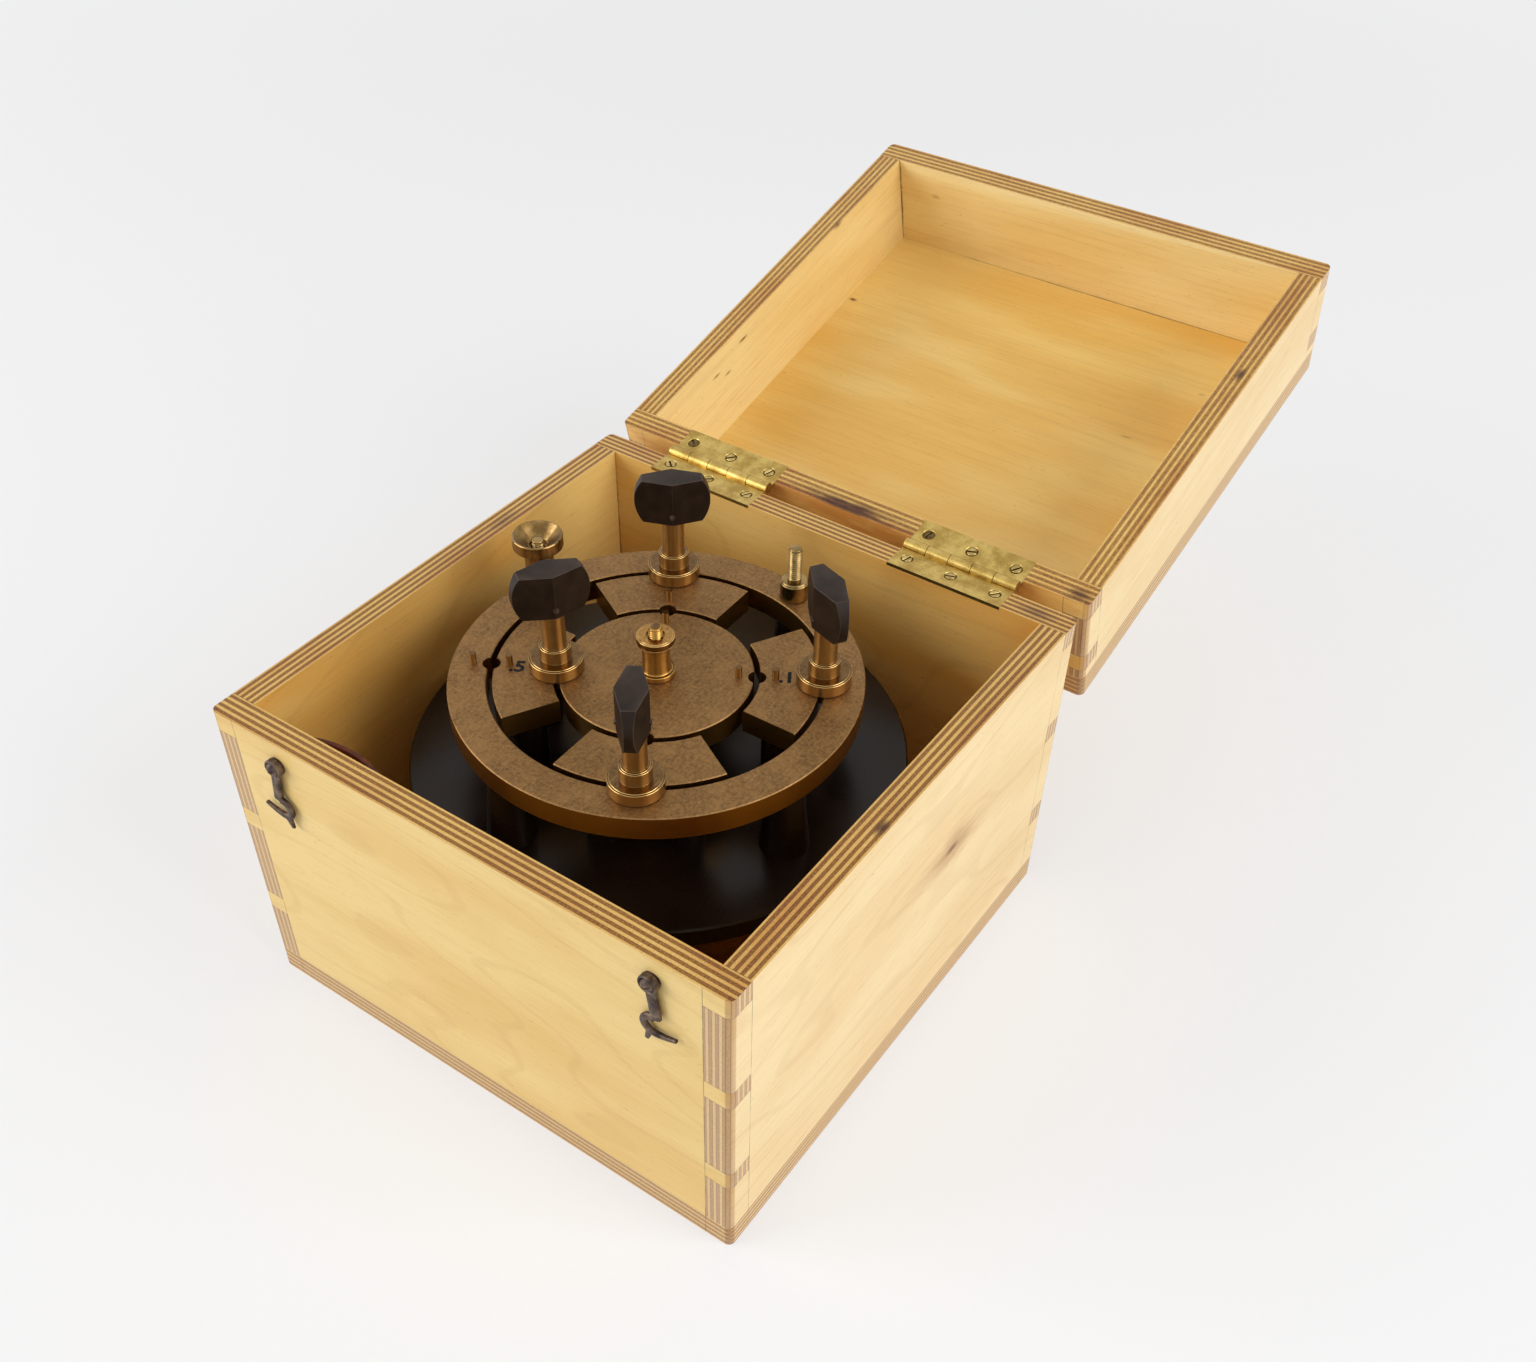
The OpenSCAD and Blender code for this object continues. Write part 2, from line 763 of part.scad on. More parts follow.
// The right hook, hanging from the origin, flat on the plane below it. Its outline goes down the shank's
// left side, round the outside of the bend, round the spur, out to the tail's tip, back inside and up
module hook_shape() {
    shank_lean = 2.3;
    lip = 1.4;
    heel_x = 1.6;
    tail_rise = 2.2;
    tail_tip_w = 1.6;
    spur_back = 2.2;
    spur_from = 0.72;
    half_shank = hook_shank_w / 2;
    half_bar = hook_bar_w / 2;
    half_tail = hook_tail_w / 2;
    half_tip = tail_tip_w / 2;
    shank_end = [shank_lean, -hook_shank_l];
    down = shank_end / norm(shank_end);
    across = [-down[1], down[0]];
    bend_z = -hook_shank_l - half_bar;
    bend_x = shank_lean - half_shank;
    // The curve's middle is then at the bend's reach
    bulge_x = (-hook_bend_out - (bend_x + heel_x) / 8) / 0.75;
    bend = [[bend_x, bend_z], [bulge_x, bend_z], [bulge_x, hook_tail_z], [heel_x, hook_tail_z]];
    tip = [hook_tail_l - half_tip, hook_tail_z + tail_rise];
    tail_third = (tip[0] - heel_x) / 3;
    tail = [
        [heel_x, hook_tail_z], [heel_x + tail_third, hook_tail_z],
        [tip[0] - tail_third, tip[1] - tail_rise / 2], tip
    ];
    spur_tip = [-spur_back, hook_tail_z - hook_spur_l];
    difference() {
        union() {
            cylinder(r = hook_eye_r, h = hook_t);
            linear_extrude(hook_t)
                polygon(concat(
                    [-half_shank * across],
                    bar_side(bend, 0, spur_from, half_bar, half_tail, -1),
                    [spur_tip - [half_tip, -half_tip], spur_tip, spur_tip + [half_tip, half_tip]],
                    bar_side(tail, 0, 1, half_tail, half_tip, -1),
                    [tip + half_tip * [0.9, 0.5]],
                    bar_side(tail, 1, 0, half_tail, half_tip, 1),
                    bar_side(bend, 0.98, 0, half_bar, half_tail, 1),
                    [shank_end + half_shank * across + lip * down, half_shank * across]
                ));
        }
        translate([0, 0, -more])
            cylinder(r = hook_screw_r + run_fit, h = hook_t + 2 * more);
    }
}

module hook_left() {
    color(bronze_colour)
        on_front(hook_left_x, hook_face_y - move_gap, hook_z)
            mirror([1, 0, 0])
                hook_shape();
}

module hook_right() {
    color(bronze_colour)
        on_front(hook_right_x, hook_face_y - move_gap, hook_z)
            hook_shape();
}

module hook_washers() {
    color(bronze_colour)
        for (x = [hook_left_x, hook_right_x])
            on_front(x, front_y, hook_z)
                tube(hook_washer_r, hook_screw_r + fix_fit, hook_washer_t);
}

module hook_screws() {
    stand_off = hook_washer_t + hook_t + 2 * move_gap;
    color(bronze_colour)
        for (x = [hook_left_x, hook_right_x])
            on_front(x, front_y, hook_z)
                translate([0, 0, stand_off + hook_head_h])
                    slotted(hook_slot_turn)
                        translate([0, 0, -stand_off - hook_head_h])
                            round_head(hook_head_r, hook_head_h, hook_screw_r, stand_off, hook_screw_l);
}

// The places on the closed lid's front wall that the raised hooks reach
module at_catches() {
    for (side = [-1, 1])
        on_front(
            (side < 0 ? hook_left_x : hook_right_x) - side * catch_x,
            front_y,
            hook_z - catch_z
        )
            children();
}

module catch_studs() {
    stand_off = hook_washer_t + hook_t + 3 * move_gap;
    color(bronze_colour)
        on_lid()
            at_catches()
                round_head(hook_head_r, hook_head_h, catch_r, stand_off, hook_screw_l);
}

// The leather strap

// A bowed strip standing on edge, with a flat foot at each end
module leather_strap() {
    wall_y = front_y + ply_t;
    bow_r = (strap_half * strap_half + strap_bow * strap_bow) / (2 * strap_bow);
    color(leather_colour)
        translate([strap_x, wall_y, box_h - strap_drop - strap_w])
            difference() {
                union() {
                    intersection() {
                        translate([0, strap_bow - bow_r, 0])
                            tube(bow_r, bow_r - strap_t, strap_w);
                        translate([-box_w, 0, -more])
                            cube([2 * box_w, box_d, strap_w + 2 * more]);
                    }
                    for (s = [-1, 1])
                        translate([s * (strap_half + strap_foot / 2) - strap_foot / 2 - strap_t / 2, 0, 0])
                            cube([strap_foot + strap_t, strap_t, strap_w]);
                }
                for (s = [-1, 1])
                    on_front(s * (strap_half + strap_foot / 2), strap_t + more, strap_w / 2)
                        cylinder(r = tack_r + fix_fit, h = strap_t + 2 * more);
            }
}

module strap_tacks() {
    color(hinge_colour)
        for (x = strap_tack_xs)
            translate([x, front_y + ply_t + strap_t, strap_tack_z])
                rotate([-90, 0, 0]) {
                    cylinder(r = tack_head_r, h = tack_head_h);
                    translate([0, 0, -strap_t - tack_l])
                        cylinder(r = tack_r, h = strap_t + tack_l);
                }
}

// The case

module at_case_screws() {
    for (i = [0 : case_screws_n - 1])
        polar(i * 360 / case_screws_n + ring_pillar_turn / 2, flange_mid_r)
            children();
}

module case_base() {
    color(brass_colour)
        on_instrument()
            difference() {
                cylinder(r = drum_r, h = case_base_t);
                at_case_screws()
                    mirror([0, 0, 1])
                        countersunk(screw_head_r, screw_r, case_base_t + flange_t, fix_fit);
            }
}

// The drum is a plain tube, and a ring soldered into each end takes the screws
module case_drum() {
    color(brass_colour)
        on_instrument()
            translate([0, 0, drum_z])
                tube(drum_r, drum_in_r, drum_h);
}

module case_flanges() {
    color(brass_colour)
        on_instrument()
            difference() {
                for (z = [drum_z, top_z - flange_t])
                    translate([0, 0, z])
                        tube(drum_in_r - fix_fit, drum_in_r - flange_w, flange_t);
                at_case_screws()
                    cylinder(r = screw_r + fix_fit, h = top_z + more);
                // Room for the heads of the ring's bolts, where the rings would reach them
                at_ring_pillars()
                    cylinder(r = bolt_head_r + move_gap, h = top_z + more);
            }
}

module case_screws() {
    color(brass_colour)
        on_instrument()
            at_case_screws() {
                mirror([0, 0, 1])
                    countersunk(screw_head_r, screw_r, case_base_t + flange_t);
                translate([0, 0, top_z - flange_t - screw_head_h])
                    cylinder(r = screw_head_r, h = screw_head_h);
                translate([0, 0, top_z - flange_t - screw_head_h])
                    cylinder(r = screw_r, h = screw_head_h + flange_t + screw_bite);
            }
}

module at_ring_pillars() {
    for (side = SIDES)
        polar(90 * side + ring_pillar_turn, ring_mid_r)
            children();
}

module at_segment_pillars() {
    for (side = SIDES, s = [-1, 1])
        polar(90 * side + s * segment_pillar_turn, segment_mid_r)
            children();
}

module at_pillars() {
    at_ring_pillars()
        children();
    at_segment_pillars()
        children();
    children();
}

module case_top() {
    color(ebonite_colour)
        on_instrument()
            difference() {
                translate([0, 0, top_z])
                    turned_block(0, case_top_r, case_top_t, 2 * block_edge);
                at_case_screws()
                    translate([0, 0, top_z - more])
                        cylinder(r = screw_r + fix_fit, h = screw_bite + more + fix_fit);
                at_pillars()
                    translate([0, 0, top_z - more])
                        cylinder(r = bolt_r + fix_fit, h = case_top_t + 2 * more);
            }
}

// The mica stacks

module at_stacks() {
    for (side = SIDES)
        rotate([0, 0, 90 * side])
            translate([stack_in, 0, case_base_t])
                children();
}

module mica_stacks() {
    color(mica_colour)
        on_instrument()
            at_stacks()
                translate([0, -stack_wide / 2, clamp_t])
                    cube([stack_deep, stack_wide, stack_high]);
}

module at_stack_bolts() {
    for (s = [-1, 1])
        translate([clamp_bolt_x - stack_in, s * clamp_bolt_y, 0])
            children();
}

module stack_clamps() {
    color(brass_colour)
        on_instrument()
            at_stacks()
                for (z = [0, clamp_t + stack_high])
                    translate([0, 0, z])
                        difference() {
                            translate([0, -clamp_wide / 2, 0])
                                cube([clamp_deep, clamp_wide, clamp_t]);
                            at_stack_bolts()
                                translate([0, 0, -more])
                                    cylinder(r = clamp_bolt_r + fix_fit, h = clamp_t + 2 * more);
                        }
}

module stack_bolts() {
    nut_r = 3.6;
    nut_h = 3;
    bolt_h = 2 * clamp_t + stack_high + nut_h + more;
    color(hinge_colour)
        on_instrument()
            at_stacks()
                at_stack_bolts() {
                    cylinder(r = clamp_bolt_r, h = bolt_h);
                    translate([0, 0, 2 * clamp_t + stack_high])
                        cylinder(r = nut_r, h = nut_h, $fn = 6);
                }
}

// A rod from each stack to its segment's bolt, and a ring with a riser that joins the stacks to the ring
module leads() {
    color(hinge_colour)
        on_instrument() {
            for (side = SIDES)
                polar(90 * side + segment_pillar_turn, segment_mid_r, clamp_top_z)
                    cylinder(r = lead_r, h = bolt_end_z - clamp_top_z);
            translate([0, 0, case_base_t + clamp_t])
                tube(common_out_r, common_in_r, common_t);
            polar(ring_pillar_turn, ring_mid_r, case_base_t + clamp_t)
                cylinder(r = lead_r, h = bolt_end_z - case_base_t - clamp_t);
        }
}

// Pillars and their bolts

module pillar() {
    translate([0, 0, pillar_z])
        difference() {
            cylinder(r1 = pillar_foot_r, r2 = pillar_top_r, h = pillar_h);
            translate([0, 0, -more])
                cylinder(r = bolt_r + fix_fit, h = pillar_h + 2 * more);
        }
}

module ring_pillars() {
    color(ebonite_colour)
        on_instrument()
            at_ring_pillars()
                pillar();
}

// The feet of a segment's pillars are slimmer, so that each pair stands clear of its neighbours
module segment_pillars() {
    color(ebonite_colour)
        on_instrument()
            at_segment_pillars()
                intersection() {
                    pillar();
                    cylinder(r = pillar_top_r + more, h = contact_z);
                }
}

module disc_pillar() {
    color(ebonite_colour)
        on_instrument()
            pillar();
}

module pillar_bolts() {
    color(brass_colour)
        on_instrument()
            at_pillars() {
                translate([0, 0, bolt_end_z])
                    cylinder(r = bolt_head_r, h = bolt_head_h, $fn = 6);
                translate([0, 0, bolt_end_z])
                    cylinder(r = bolt_r, h = block_z + bolt_bite - bolt_end_z);
            }
}

// Contact blocks

// The tapered hole of a plug, from its middle on the blocks' upper face
module taper_hole(side, r) {
    slope = (taper_top_r - taper_tip_r) / taper_l;
    polar(90 * side, r, block_z - more)
        cylinder(
            r1 = taper_top_r + run_fit - slope * (block_t + more),
            r2 = taper_top_r + run_fit + slope * more,
            h = block_t + 2 * more
        );
}

module at_pins() {
    for (side = SIDES, r = [inner_hole_r, outer_hole_r], s = [-1, 1])
        polar(90 * side, r + s * pin_out, contact_z)
            children();
}

module at_terminals() {
    for (side = [RIGHT, BACK])
        polar(90 * side + ring_pillar_turn, ring_mid_r, contact_z)
            children();
    translate([0, 0, contact_z])
        children();
}

// Everything that is bored out of the blocks
module block_holes() {
    for (side = SIDES, r = [inner_hole_r, outer_hole_r])
        taper_hole(side, r);
    at_pins()
        translate([0, 0, -pin_bite - fix_fit])
            cylinder(r = pin_r + fix_fit, h = pin_bite + more);
    at_pillars()
        translate([0, 0, block_z - more])
            cylinder(r = bolt_r + fix_fit, h = bolt_bite + more + fix_fit);
    at_terminals()
        translate([0, 0, -spigot_l - fix_fit])
            cylinder(r = bolt_r + fix_fit, h = spigot_l + more);
}

module contact_ring() {
    color(block_colour)
        on_instrument()
            difference() {
                translate([0, 0, block_z])
                    turned_block(ring_in_r, ring_out_r, block_t, block_edge);
                block_holes();
            }
}

module contact_disc() {
    color(block_colour)
        on_instrument()
            difference() {
                translate([0, 0, block_z])
                    turned_block(0, disc_r, block_t, block_edge);
                block_holes();
            }
}

module segment(side) {
    color(block_colour)
        on_instrument()
            difference() {
                polar(90 * side, 0, block_z)
                    turned_block(segment_in_r, segment_out_r, block_t, block_edge, segment_angle);
                block_holes();
            }
}

module segment_right() {
    segment(RIGHT);
}

module segment_back() {
    segment(BACK);
}

module segment_left() {
    segment(LEFT);
}

module segment_front() {
    segment(FRONT);
}

module locating_pins() {
    color(brass_colour)
        on_instrument()
            at_pins()
                translate([0, 0, -pin_bite])
                    cylinder(r = pin_r, h = pin_bite + pin_h);
}

// Terminals

module stud(h) {
    tip = 0.8;
    cylinder(r = stud_r, h = h - tip);
    translate([0, 0, h - tip])
        cylinder(r1 = stud_r, r2 = stud_r - tip, h = tip);
}

module spigot() {
    translate([0, 0, -spigot_l])
        cylinder(r = bolt_r, h = spigot_l);
}

// The right terminal stands bare, and the left one carries the dished nut
module ring_terminals() {
    color(brass_colour)
        on_instrument()
            for (side = [RIGHT, BACK])
                polar(90 * side + ring_pillar_turn, ring_mid_r, contact_z) {
                    spigot();
                    turned_block(0, post_r, post_h, block_edge);
                    translate([0, 0, post_h])
                        stud(stud_h);
                }
}

module centre_post() {
    color(brass_colour)
        on_blocks(0, 0) {
            spigot();
            turned_block(0, centre_foot_r, centre_foot_h, block_edge);
            translate([0, 0, centre_foot_h])
                turned_block(0, post_r, centre_body_h, block_edge);
            translate([0, 0, centre_foot_h + centre_body_h])
                stud(centre_stud_h);
        }
}

module centre_nut() {
    edge = 2 * block_edge;
    color(brass_colour)
        on_blocks(0, 0)
            translate([0, 0, centre_nut_z])
                rotate_extrude()
                    polygon([
                        [nut_bore_r, 0], [cap_nut_r - edge, 0], [cap_nut_r, edge],
                        [cap_nut_r, cap_nut_t - edge], [cap_nut_r - edge, cap_nut_t],
                        [nut_bore_r, cap_nut_t]
                    ]);
}

module dish_nut() {
    edge = 2 * block_edge;
    rim_z = dish_hub_h + dish_rim_h;
    color(brass_colour)
        on_blocks(90 * BACK + ring_pillar_turn, ring_mid_r)
            translate([0, 0, dish_nut_z])
                rotate_extrude()
                    polygon([
                        [nut_bore_r, 0], [post_r, 0], [post_r, dish_hub_h],
                        [dish_nut_r - edge, dish_hub_h], [dish_nut_r, dish_hub_h + edge],
                        [dish_nut_r, rim_z - edge], [dish_nut_r - edge, rim_z],
                        [dish_nut_r - 2 * edge, rim_z], [nut_bore_r + edge, rim_z - dish_depth],
                        [nut_bore_r, rim_z - dish_depth]
                    ]);
}

// Plugs

// The brass body, turned from its half section: taper, grooved flange, collar, stem and tang
module plug(side) {
    slope = (taper_top_r - taper_tip_r) / taper_l;
    hub_r = taper_top_r + slope * seat_gap;
    edge = 2 * block_edge;
    color(brass_colour)
        at_plug(side)
            difference() {
                rotate_extrude()
                    polygon([
                        [0, -taper_l], [taper_tip_r, -taper_l], [hub_r, seat_gap],
                        [groove_in_r, seat_gap], [groove_in_r, groove_z], [groove_out_r, groove_z],
                        [groove_out_r, seat_gap], [plug_flange_r, seat_gap],
                        [plug_flange_r, plug_flange_z - edge], [plug_flange_r - edge, plug_flange_z],
                        [collar_r, plug_flange_z], [collar_r, collar_z - edge], [collar_r - edge, collar_z],
                        [stem_r, collar_z], [stem_r, handle_z], [tang_r, handle_z],
                        [tang_r, handle_z + tang_l], [0, handle_z + tang_l]
                    ]);
                cross_pin_shape(side, cross_pin_r + fix_fit);
            }
}

module cross_pin_shape(side, r) {
    length = handle_ridge_t + 2 * cross_pin_out;
    rotate([0, 0, handle_turn[side]])
        translate([0, length / 2, handle_z + cross_pin_up])
            rotate([90, 0, 0])
                cylinder(r = r, h = length);
}

// A lozenge in plan, with its ends rounded in elevation and its corners between ridge and end left sharp
module handle(side) {
    half_w = handle_w / 2;
    half_ridge = handle_ridge_t / 2;
    half_end = handle_end_t / 2;
    color(ebonite_colour)
        at_plug(side)
            difference() {
                rotate([0, 0, handle_turn[side]])
                    translate([0, 0, handle_z])
                        intersection() {
                            linear_extrude(handle_h)
                                polygon([
                                    [half_w, half_end], [0, half_ridge], [-half_w, half_end],
                                    [-half_w, -half_end], [0, -half_ridge], [half_w, -half_end]
                                ]);
                            translate([0, half_w, handle_h / 2])
                                rotate([90, 0, 0])
                                    cylinder(r = half_w, h = handle_w);
                        }
                translate([0, 0, handle_z - more])
                    cylinder(r = tang_r + fix_fit, h = tang_l + more + fix_fit);
                cross_pin_shape(side, cross_pin_r + fix_fit);
            }
}

module cross_pin(side) {
    color(brass_colour)
        at_plug(side)
            cross_pin_shape(side, cross_pin_r);
}

module plug_right() {
    plug(RIGHT);
}

module plug_back() {
    plug(BACK);
}

module plug_left() {
    plug(LEFT);
}

module plug_front() {
    plug(FRONT);
}

module handle_right() {
    handle(RIGHT);
}

module handle_back() {
    handle(BACK);
}

module handle_left() {
    handle(LEFT);
}

module handle_front() {
    handle(FRONT);
}

module cross_pin_right() {
    cross_pin(RIGHT);
}

module cross_pin_back() {
    cross_pin(BACK);
}

module cross_pin_left() {
    cross_pin(LEFT);
}

module cross_pin_front() {
    cross_pin(FRONT);
}

box_bottom();
box_front_wall();
box_back_wall();
box_left_wall();
box_right_wall();
hinge_left_box_leaf();
hinge_right_box_leaf();
hinge_pins();
box_hinge_screws();
hook_washers();
hook_screws();
hook_left();
hook_right();
leather_strap();
strap_tacks();
lid_top();
lid_front_wall();
lid_back_wall();
lid_left_wall();
lid_right_wall();
hinge_left_lid_leaf();
hinge_right_lid_leaf();
lid_hinge_screws();
catch_studs();
case_base();
case_drum();
case_flanges();
case_top();
case_screws();
mica_stacks();
stack_clamps();
stack_bolts();
leads();
ring_pillars();
segment_pillars();
disc_pillar();
pillar_bolts();
contact_ring();
contact_disc();
segment_right();
segment_back();
segment_left();
segment_front();
locating_pins();
ring_terminals();
centre_post();
centre_nut();
dish_nut();
plug_right();
plug_back();
plug_left();
plug_front();
handle_right();
handle_back();
handle_left();
handle_front();
cross_pin_right();
cross_pin_back();
cross_pin_left();
cross_pin_front();
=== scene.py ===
import json
import math

import bpy
import numpy as np
from mathutils import Matrix, Vector


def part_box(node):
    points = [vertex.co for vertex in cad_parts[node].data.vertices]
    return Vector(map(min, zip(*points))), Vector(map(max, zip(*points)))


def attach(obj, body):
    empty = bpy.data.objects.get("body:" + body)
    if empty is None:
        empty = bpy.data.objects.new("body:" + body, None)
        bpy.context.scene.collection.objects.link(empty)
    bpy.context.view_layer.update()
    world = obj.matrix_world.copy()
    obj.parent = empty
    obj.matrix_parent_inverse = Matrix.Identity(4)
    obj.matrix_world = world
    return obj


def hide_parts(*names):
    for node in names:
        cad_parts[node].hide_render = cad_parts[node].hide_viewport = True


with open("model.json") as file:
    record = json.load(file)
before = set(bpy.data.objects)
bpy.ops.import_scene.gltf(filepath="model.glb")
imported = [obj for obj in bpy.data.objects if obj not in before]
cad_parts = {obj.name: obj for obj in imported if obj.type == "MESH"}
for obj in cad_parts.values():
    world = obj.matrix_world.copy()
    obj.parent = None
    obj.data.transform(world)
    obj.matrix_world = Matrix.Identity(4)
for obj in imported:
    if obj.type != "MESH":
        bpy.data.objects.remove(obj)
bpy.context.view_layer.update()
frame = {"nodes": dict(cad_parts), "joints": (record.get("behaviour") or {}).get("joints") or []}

# The photographer's view
# The camera looks down into the open box over its front right corner. Its place and lens were found
# from the edges of the box, and the lens is shifted as in the photograph's framing.
IMAGE_W, IMAGE_H = 1536, 1362
FOCAL_PX = 1570.64
CENTRE_PX = (739.8, 804.2)
SENSOR_MM = 36.0
VIEW_AZIMUTH = math.radians(34.91)
VIEW_ELEVATION = math.radians(44.46)
VIEW_ROLL = math.radians(0.55)
VIEW_PLACE = Vector((0.3090, -0.3852, 0.5569))

lens = bpy.data.cameras.new("view")
lens.sensor_fit = "HORIZONTAL"
lens.sensor_width = SENSOR_MM
lens.lens = FOCAL_PX / IMAGE_W * SENSOR_MM
lens.shift_x = (IMAGE_W / 2 - CENTRE_PX[0]) / IMAGE_W
lens.shift_y = (CENTRE_PX[1] - IMAGE_H / 2) / IMAGE_W
lens.clip_start = 0.01
camera = bpy.data.objects.new("view", lens)
camera.matrix_world = (
    Matrix.Translation(VIEW_PLACE)
    @ Matrix.Rotation(VIEW_AZIMUTH, 4, "Z")
    @ Matrix.Rotation(math.pi / 2 - VIEW_ELEVATION, 4, "X")
    @ Matrix.Rotation(VIEW_ROLL, 4, "Z")
)
bpy.context.scene.collection.objects.link(camera)
bpy.context.scene.camera = camera
bpy.context.scene.view_settings.view_transform = "Standard"

# The studio floor and light
# A sheet of white paper under the box, lit from all round, with a large soft lamp on the right and
# another in front on the left. The paper is seen near white and keeps a faint shadow.
FLOOR_HALF = 12.0
PAPER = "#f8f8f9"
PAPER_GLOW = 0.52
GLOW_LEVEL = 1.065
FADE_FROM = 0.8
FADE_TO = 3.0
ROOM_LEVEL = 0.42
LAMP_AIM = Vector((0, 0, 0.1))
LAMPS = (
    ("right_lamp", (1.9, 0.3, 1.1), 1.6, 27.0),
    ("left_lamp", (-1.6, -1.35, 0.9), 1.6, 30.0),
)


def linear(colour):
    """sRGB hex to linear: a channel c is c / 12.92 up to 0.04045, ((c + 0.055) / 1.055) ** 2.4 above."""
    c = np.array([int(colour[i:i + 2], 16) / 255 for i in (1, 3, 5)])
    c = np.where(c <= 0.04045, c / 12.92, ((c + 0.055) / 1.055) ** 2.4)
    return (*(float(v) for v in c), 1.0)


def add(tree, kind, inputs=None, stops=(), **settings):
    """Adds a node and gives its outputs. Settings go to its properties, stops to its colour ramp, and
    each input takes a constant or, where it is given a socket, a link."""
    made = tree.nodes.new("ShaderNode" + kind)
    for key, value in settings.items():
        setattr(made, key, value)
    for key, value in (inputs or {}).items():
        if isinstance(value, bpy.types.NodeSocket):
            tree.links.new(value, made.inputs[key])
        else:
            made.inputs[key].default_value = value
    for i, (place, colour) in enumerate(stops):
        stop = made.color_ramp.elements[i] if i < 2 else made.color_ramp.elements.new(place)
        stop.position = place
        stop.color = linear(colour)
    return made.outputs


def tree_of(*values):
    """The node tree of the first socket among some values."""
    return next(value.id_data for value in values if isinstance(value, bpy.types.NodeSocket))


def calc(operation, first, second=0.0):
    """One step of arithmetic."""
    return add(tree_of(first, second), "Math", {0: first, 1: second}, operation=operation)[0]


def vector(operation, first, second=(0, 0, 0)):
    """The outputs of one step of vector arithmetic."""
    return add(tree_of(first, second), "VectorMath", {0: first, 1: second}, operation=operation)


def ramp(value, start, end, low=0.0, high=1.0, line="SMOOTHSTEP"):
    """Goes from low to high as the value goes from start to end, along an S or a straight line."""
    return add(tree_of(value), "MapRange", {"Value": value, "From Min": start, "From Max": end,
                                            "To Min": low, "To Max": high}, interpolation_type=line)[0]


def seen_directly(tree):
    """1 for rays from the camera and for those that metal and glass send on, and 0 for the rest."""
    ray = add(tree, "LightPath")
    mirror = calc("MAXIMUM", ray["Is Camera Ray"], ray["Is Glossy Ray"])
    return calc("MAXIMUM", mirror, ray["Is Transmission Ray"])


def new_material(name):
    """An empty node material of that name, its node tree, and places in the object's own space."""
    material = bpy.data.materials.new(name)
    material.use_nodes = True
    tree = material.node_tree
    tree.nodes.clear()
    return material, tree, add(tree, "TexCoord")["Object"]


floor_mesh = bpy.data.meshes.new("paper_floor")
floor_corners = [(x * FLOOR_HALF, y * FLOOR_HALF, 0) for x, y in ((-1, -1), (1, -1), (1, 1), (-1, 1))]
floor_mesh.from_pydata(floor_corners, [], [(0, 1, 2, 3)])
floor = bpy.data.objects.new("paper_floor", floor_mesh)
bpy.context.scene.collection.objects.link(floor)

paper, tree, place = new_material("white_paper")
matt = add(tree, "BsdfDiffuse", {"Color": linear(PAPER)})
glare = ramp(vector("LENGTH", place)["Value"], FADE_FROM, FADE_TO, PAPER_GLOW, 1.0)
glow = add(tree, "Emission", {"Color": linear(PAPER), "Strength": GLOW_LEVEL})
share = calc("MULTIPLY", seen_directly(tree), glare)
sheet = add(tree, "MixShader", {0: share, 1: matt[0], 2: glow[0]})
add(tree, "OutputMaterial", {"Surface": sheet[0]})
floor_mesh.materials.append(paper)

world = bpy.data.worlds.new("white_room")
bpy.context.scene.world = world
world.use_nodes = True
tree = world.node_tree
tree.nodes.clear()
level = ramp(seen_directly(tree), 0.0, 1.0, ROOM_LEVEL, 1.0, "LINEAR")
room = add(tree, "Background", {"Color": (1, 1, 1, 1), "Strength": level})
add(tree, "OutputWorld", {"Surface": room[0]})

for lamp_name, place, size, power in LAMPS:
    lamp = bpy.data.lights.new(lamp_name, "AREA")
    lamp.shape = "SQUARE"
    lamp.size = size
    lamp.energy = power
    lamp_object = bpy.data.objects.new(lamp_name, lamp)
    lamp_object.location = place
    lamp_object.rotation_euler = (LAMP_AIM - Vector(place)).to_track_quat("-Z", "Y").to_euler()
    bpy.context.scene.collection.objects.link(lamp_object)

# The plywood box
# Four walls and a bottom panel of nine-ply birch, 12 mm thick, glued at finger joints and brushed with
# a clear varnish that has yellowed. The faces show long grain. On a cut edge every second ply is end
# grain and has drunk the varnish, so it is brown between pale plies.
MM = 0.001
PLY_T = 12
PLIES = 9
# The two outer plies were sanded thinner than the rest, and each ply wanders, by these shares of a ply
SANDED = 0.35
PLY_WANDER = 0.08
FINGER_H = 9.5
BOX_TONGUE_H = 42
JOINT_LINE = 0.2
SLACK = 0.5
EASED = 0.35
WELD_REACH = 0.005
SHARP_EDGE = math.radians(40)
FACE_OUTSIDE = ("#f5d68c", "#edc677")
# Paler tones for the outer faces of the right walls: a painted sheen where the lamp on the right lights them
FACE_PAINTED_SHEEN = ("#f6dca6", "#efd096")
FACE_INSIDE = ("#fdd27c", "#f3b75a")
FIGURE = "#c08a40"
FLECK = "#7a4c1c"
RIM_LONG = ("#f5cc7a", "#e0a950")
RIM_END = ("#794a14", "#b98332")
RIM_AGED = "#d3a877"
PANEL_DRUNK = 0.28
SIDE_LONG = ("#e8c892", "#d8b27a")
SIDE_END = ("#b8916a", "#cca880")
GLUE_LINE = "#6b4520"
JOINT_DARK = "#4a2f12"
CORNER = 3.0
CORNER_BROWN = "#b98a62"
KNOT = "#b98c63"
KNOT_HEART = "#a47a6c"
# Painted shade: a dark line down and along the inner corners where two boards meet
CORNER_SHADE_LINE = "#5c3618"
STAIN = "#5d3a30"
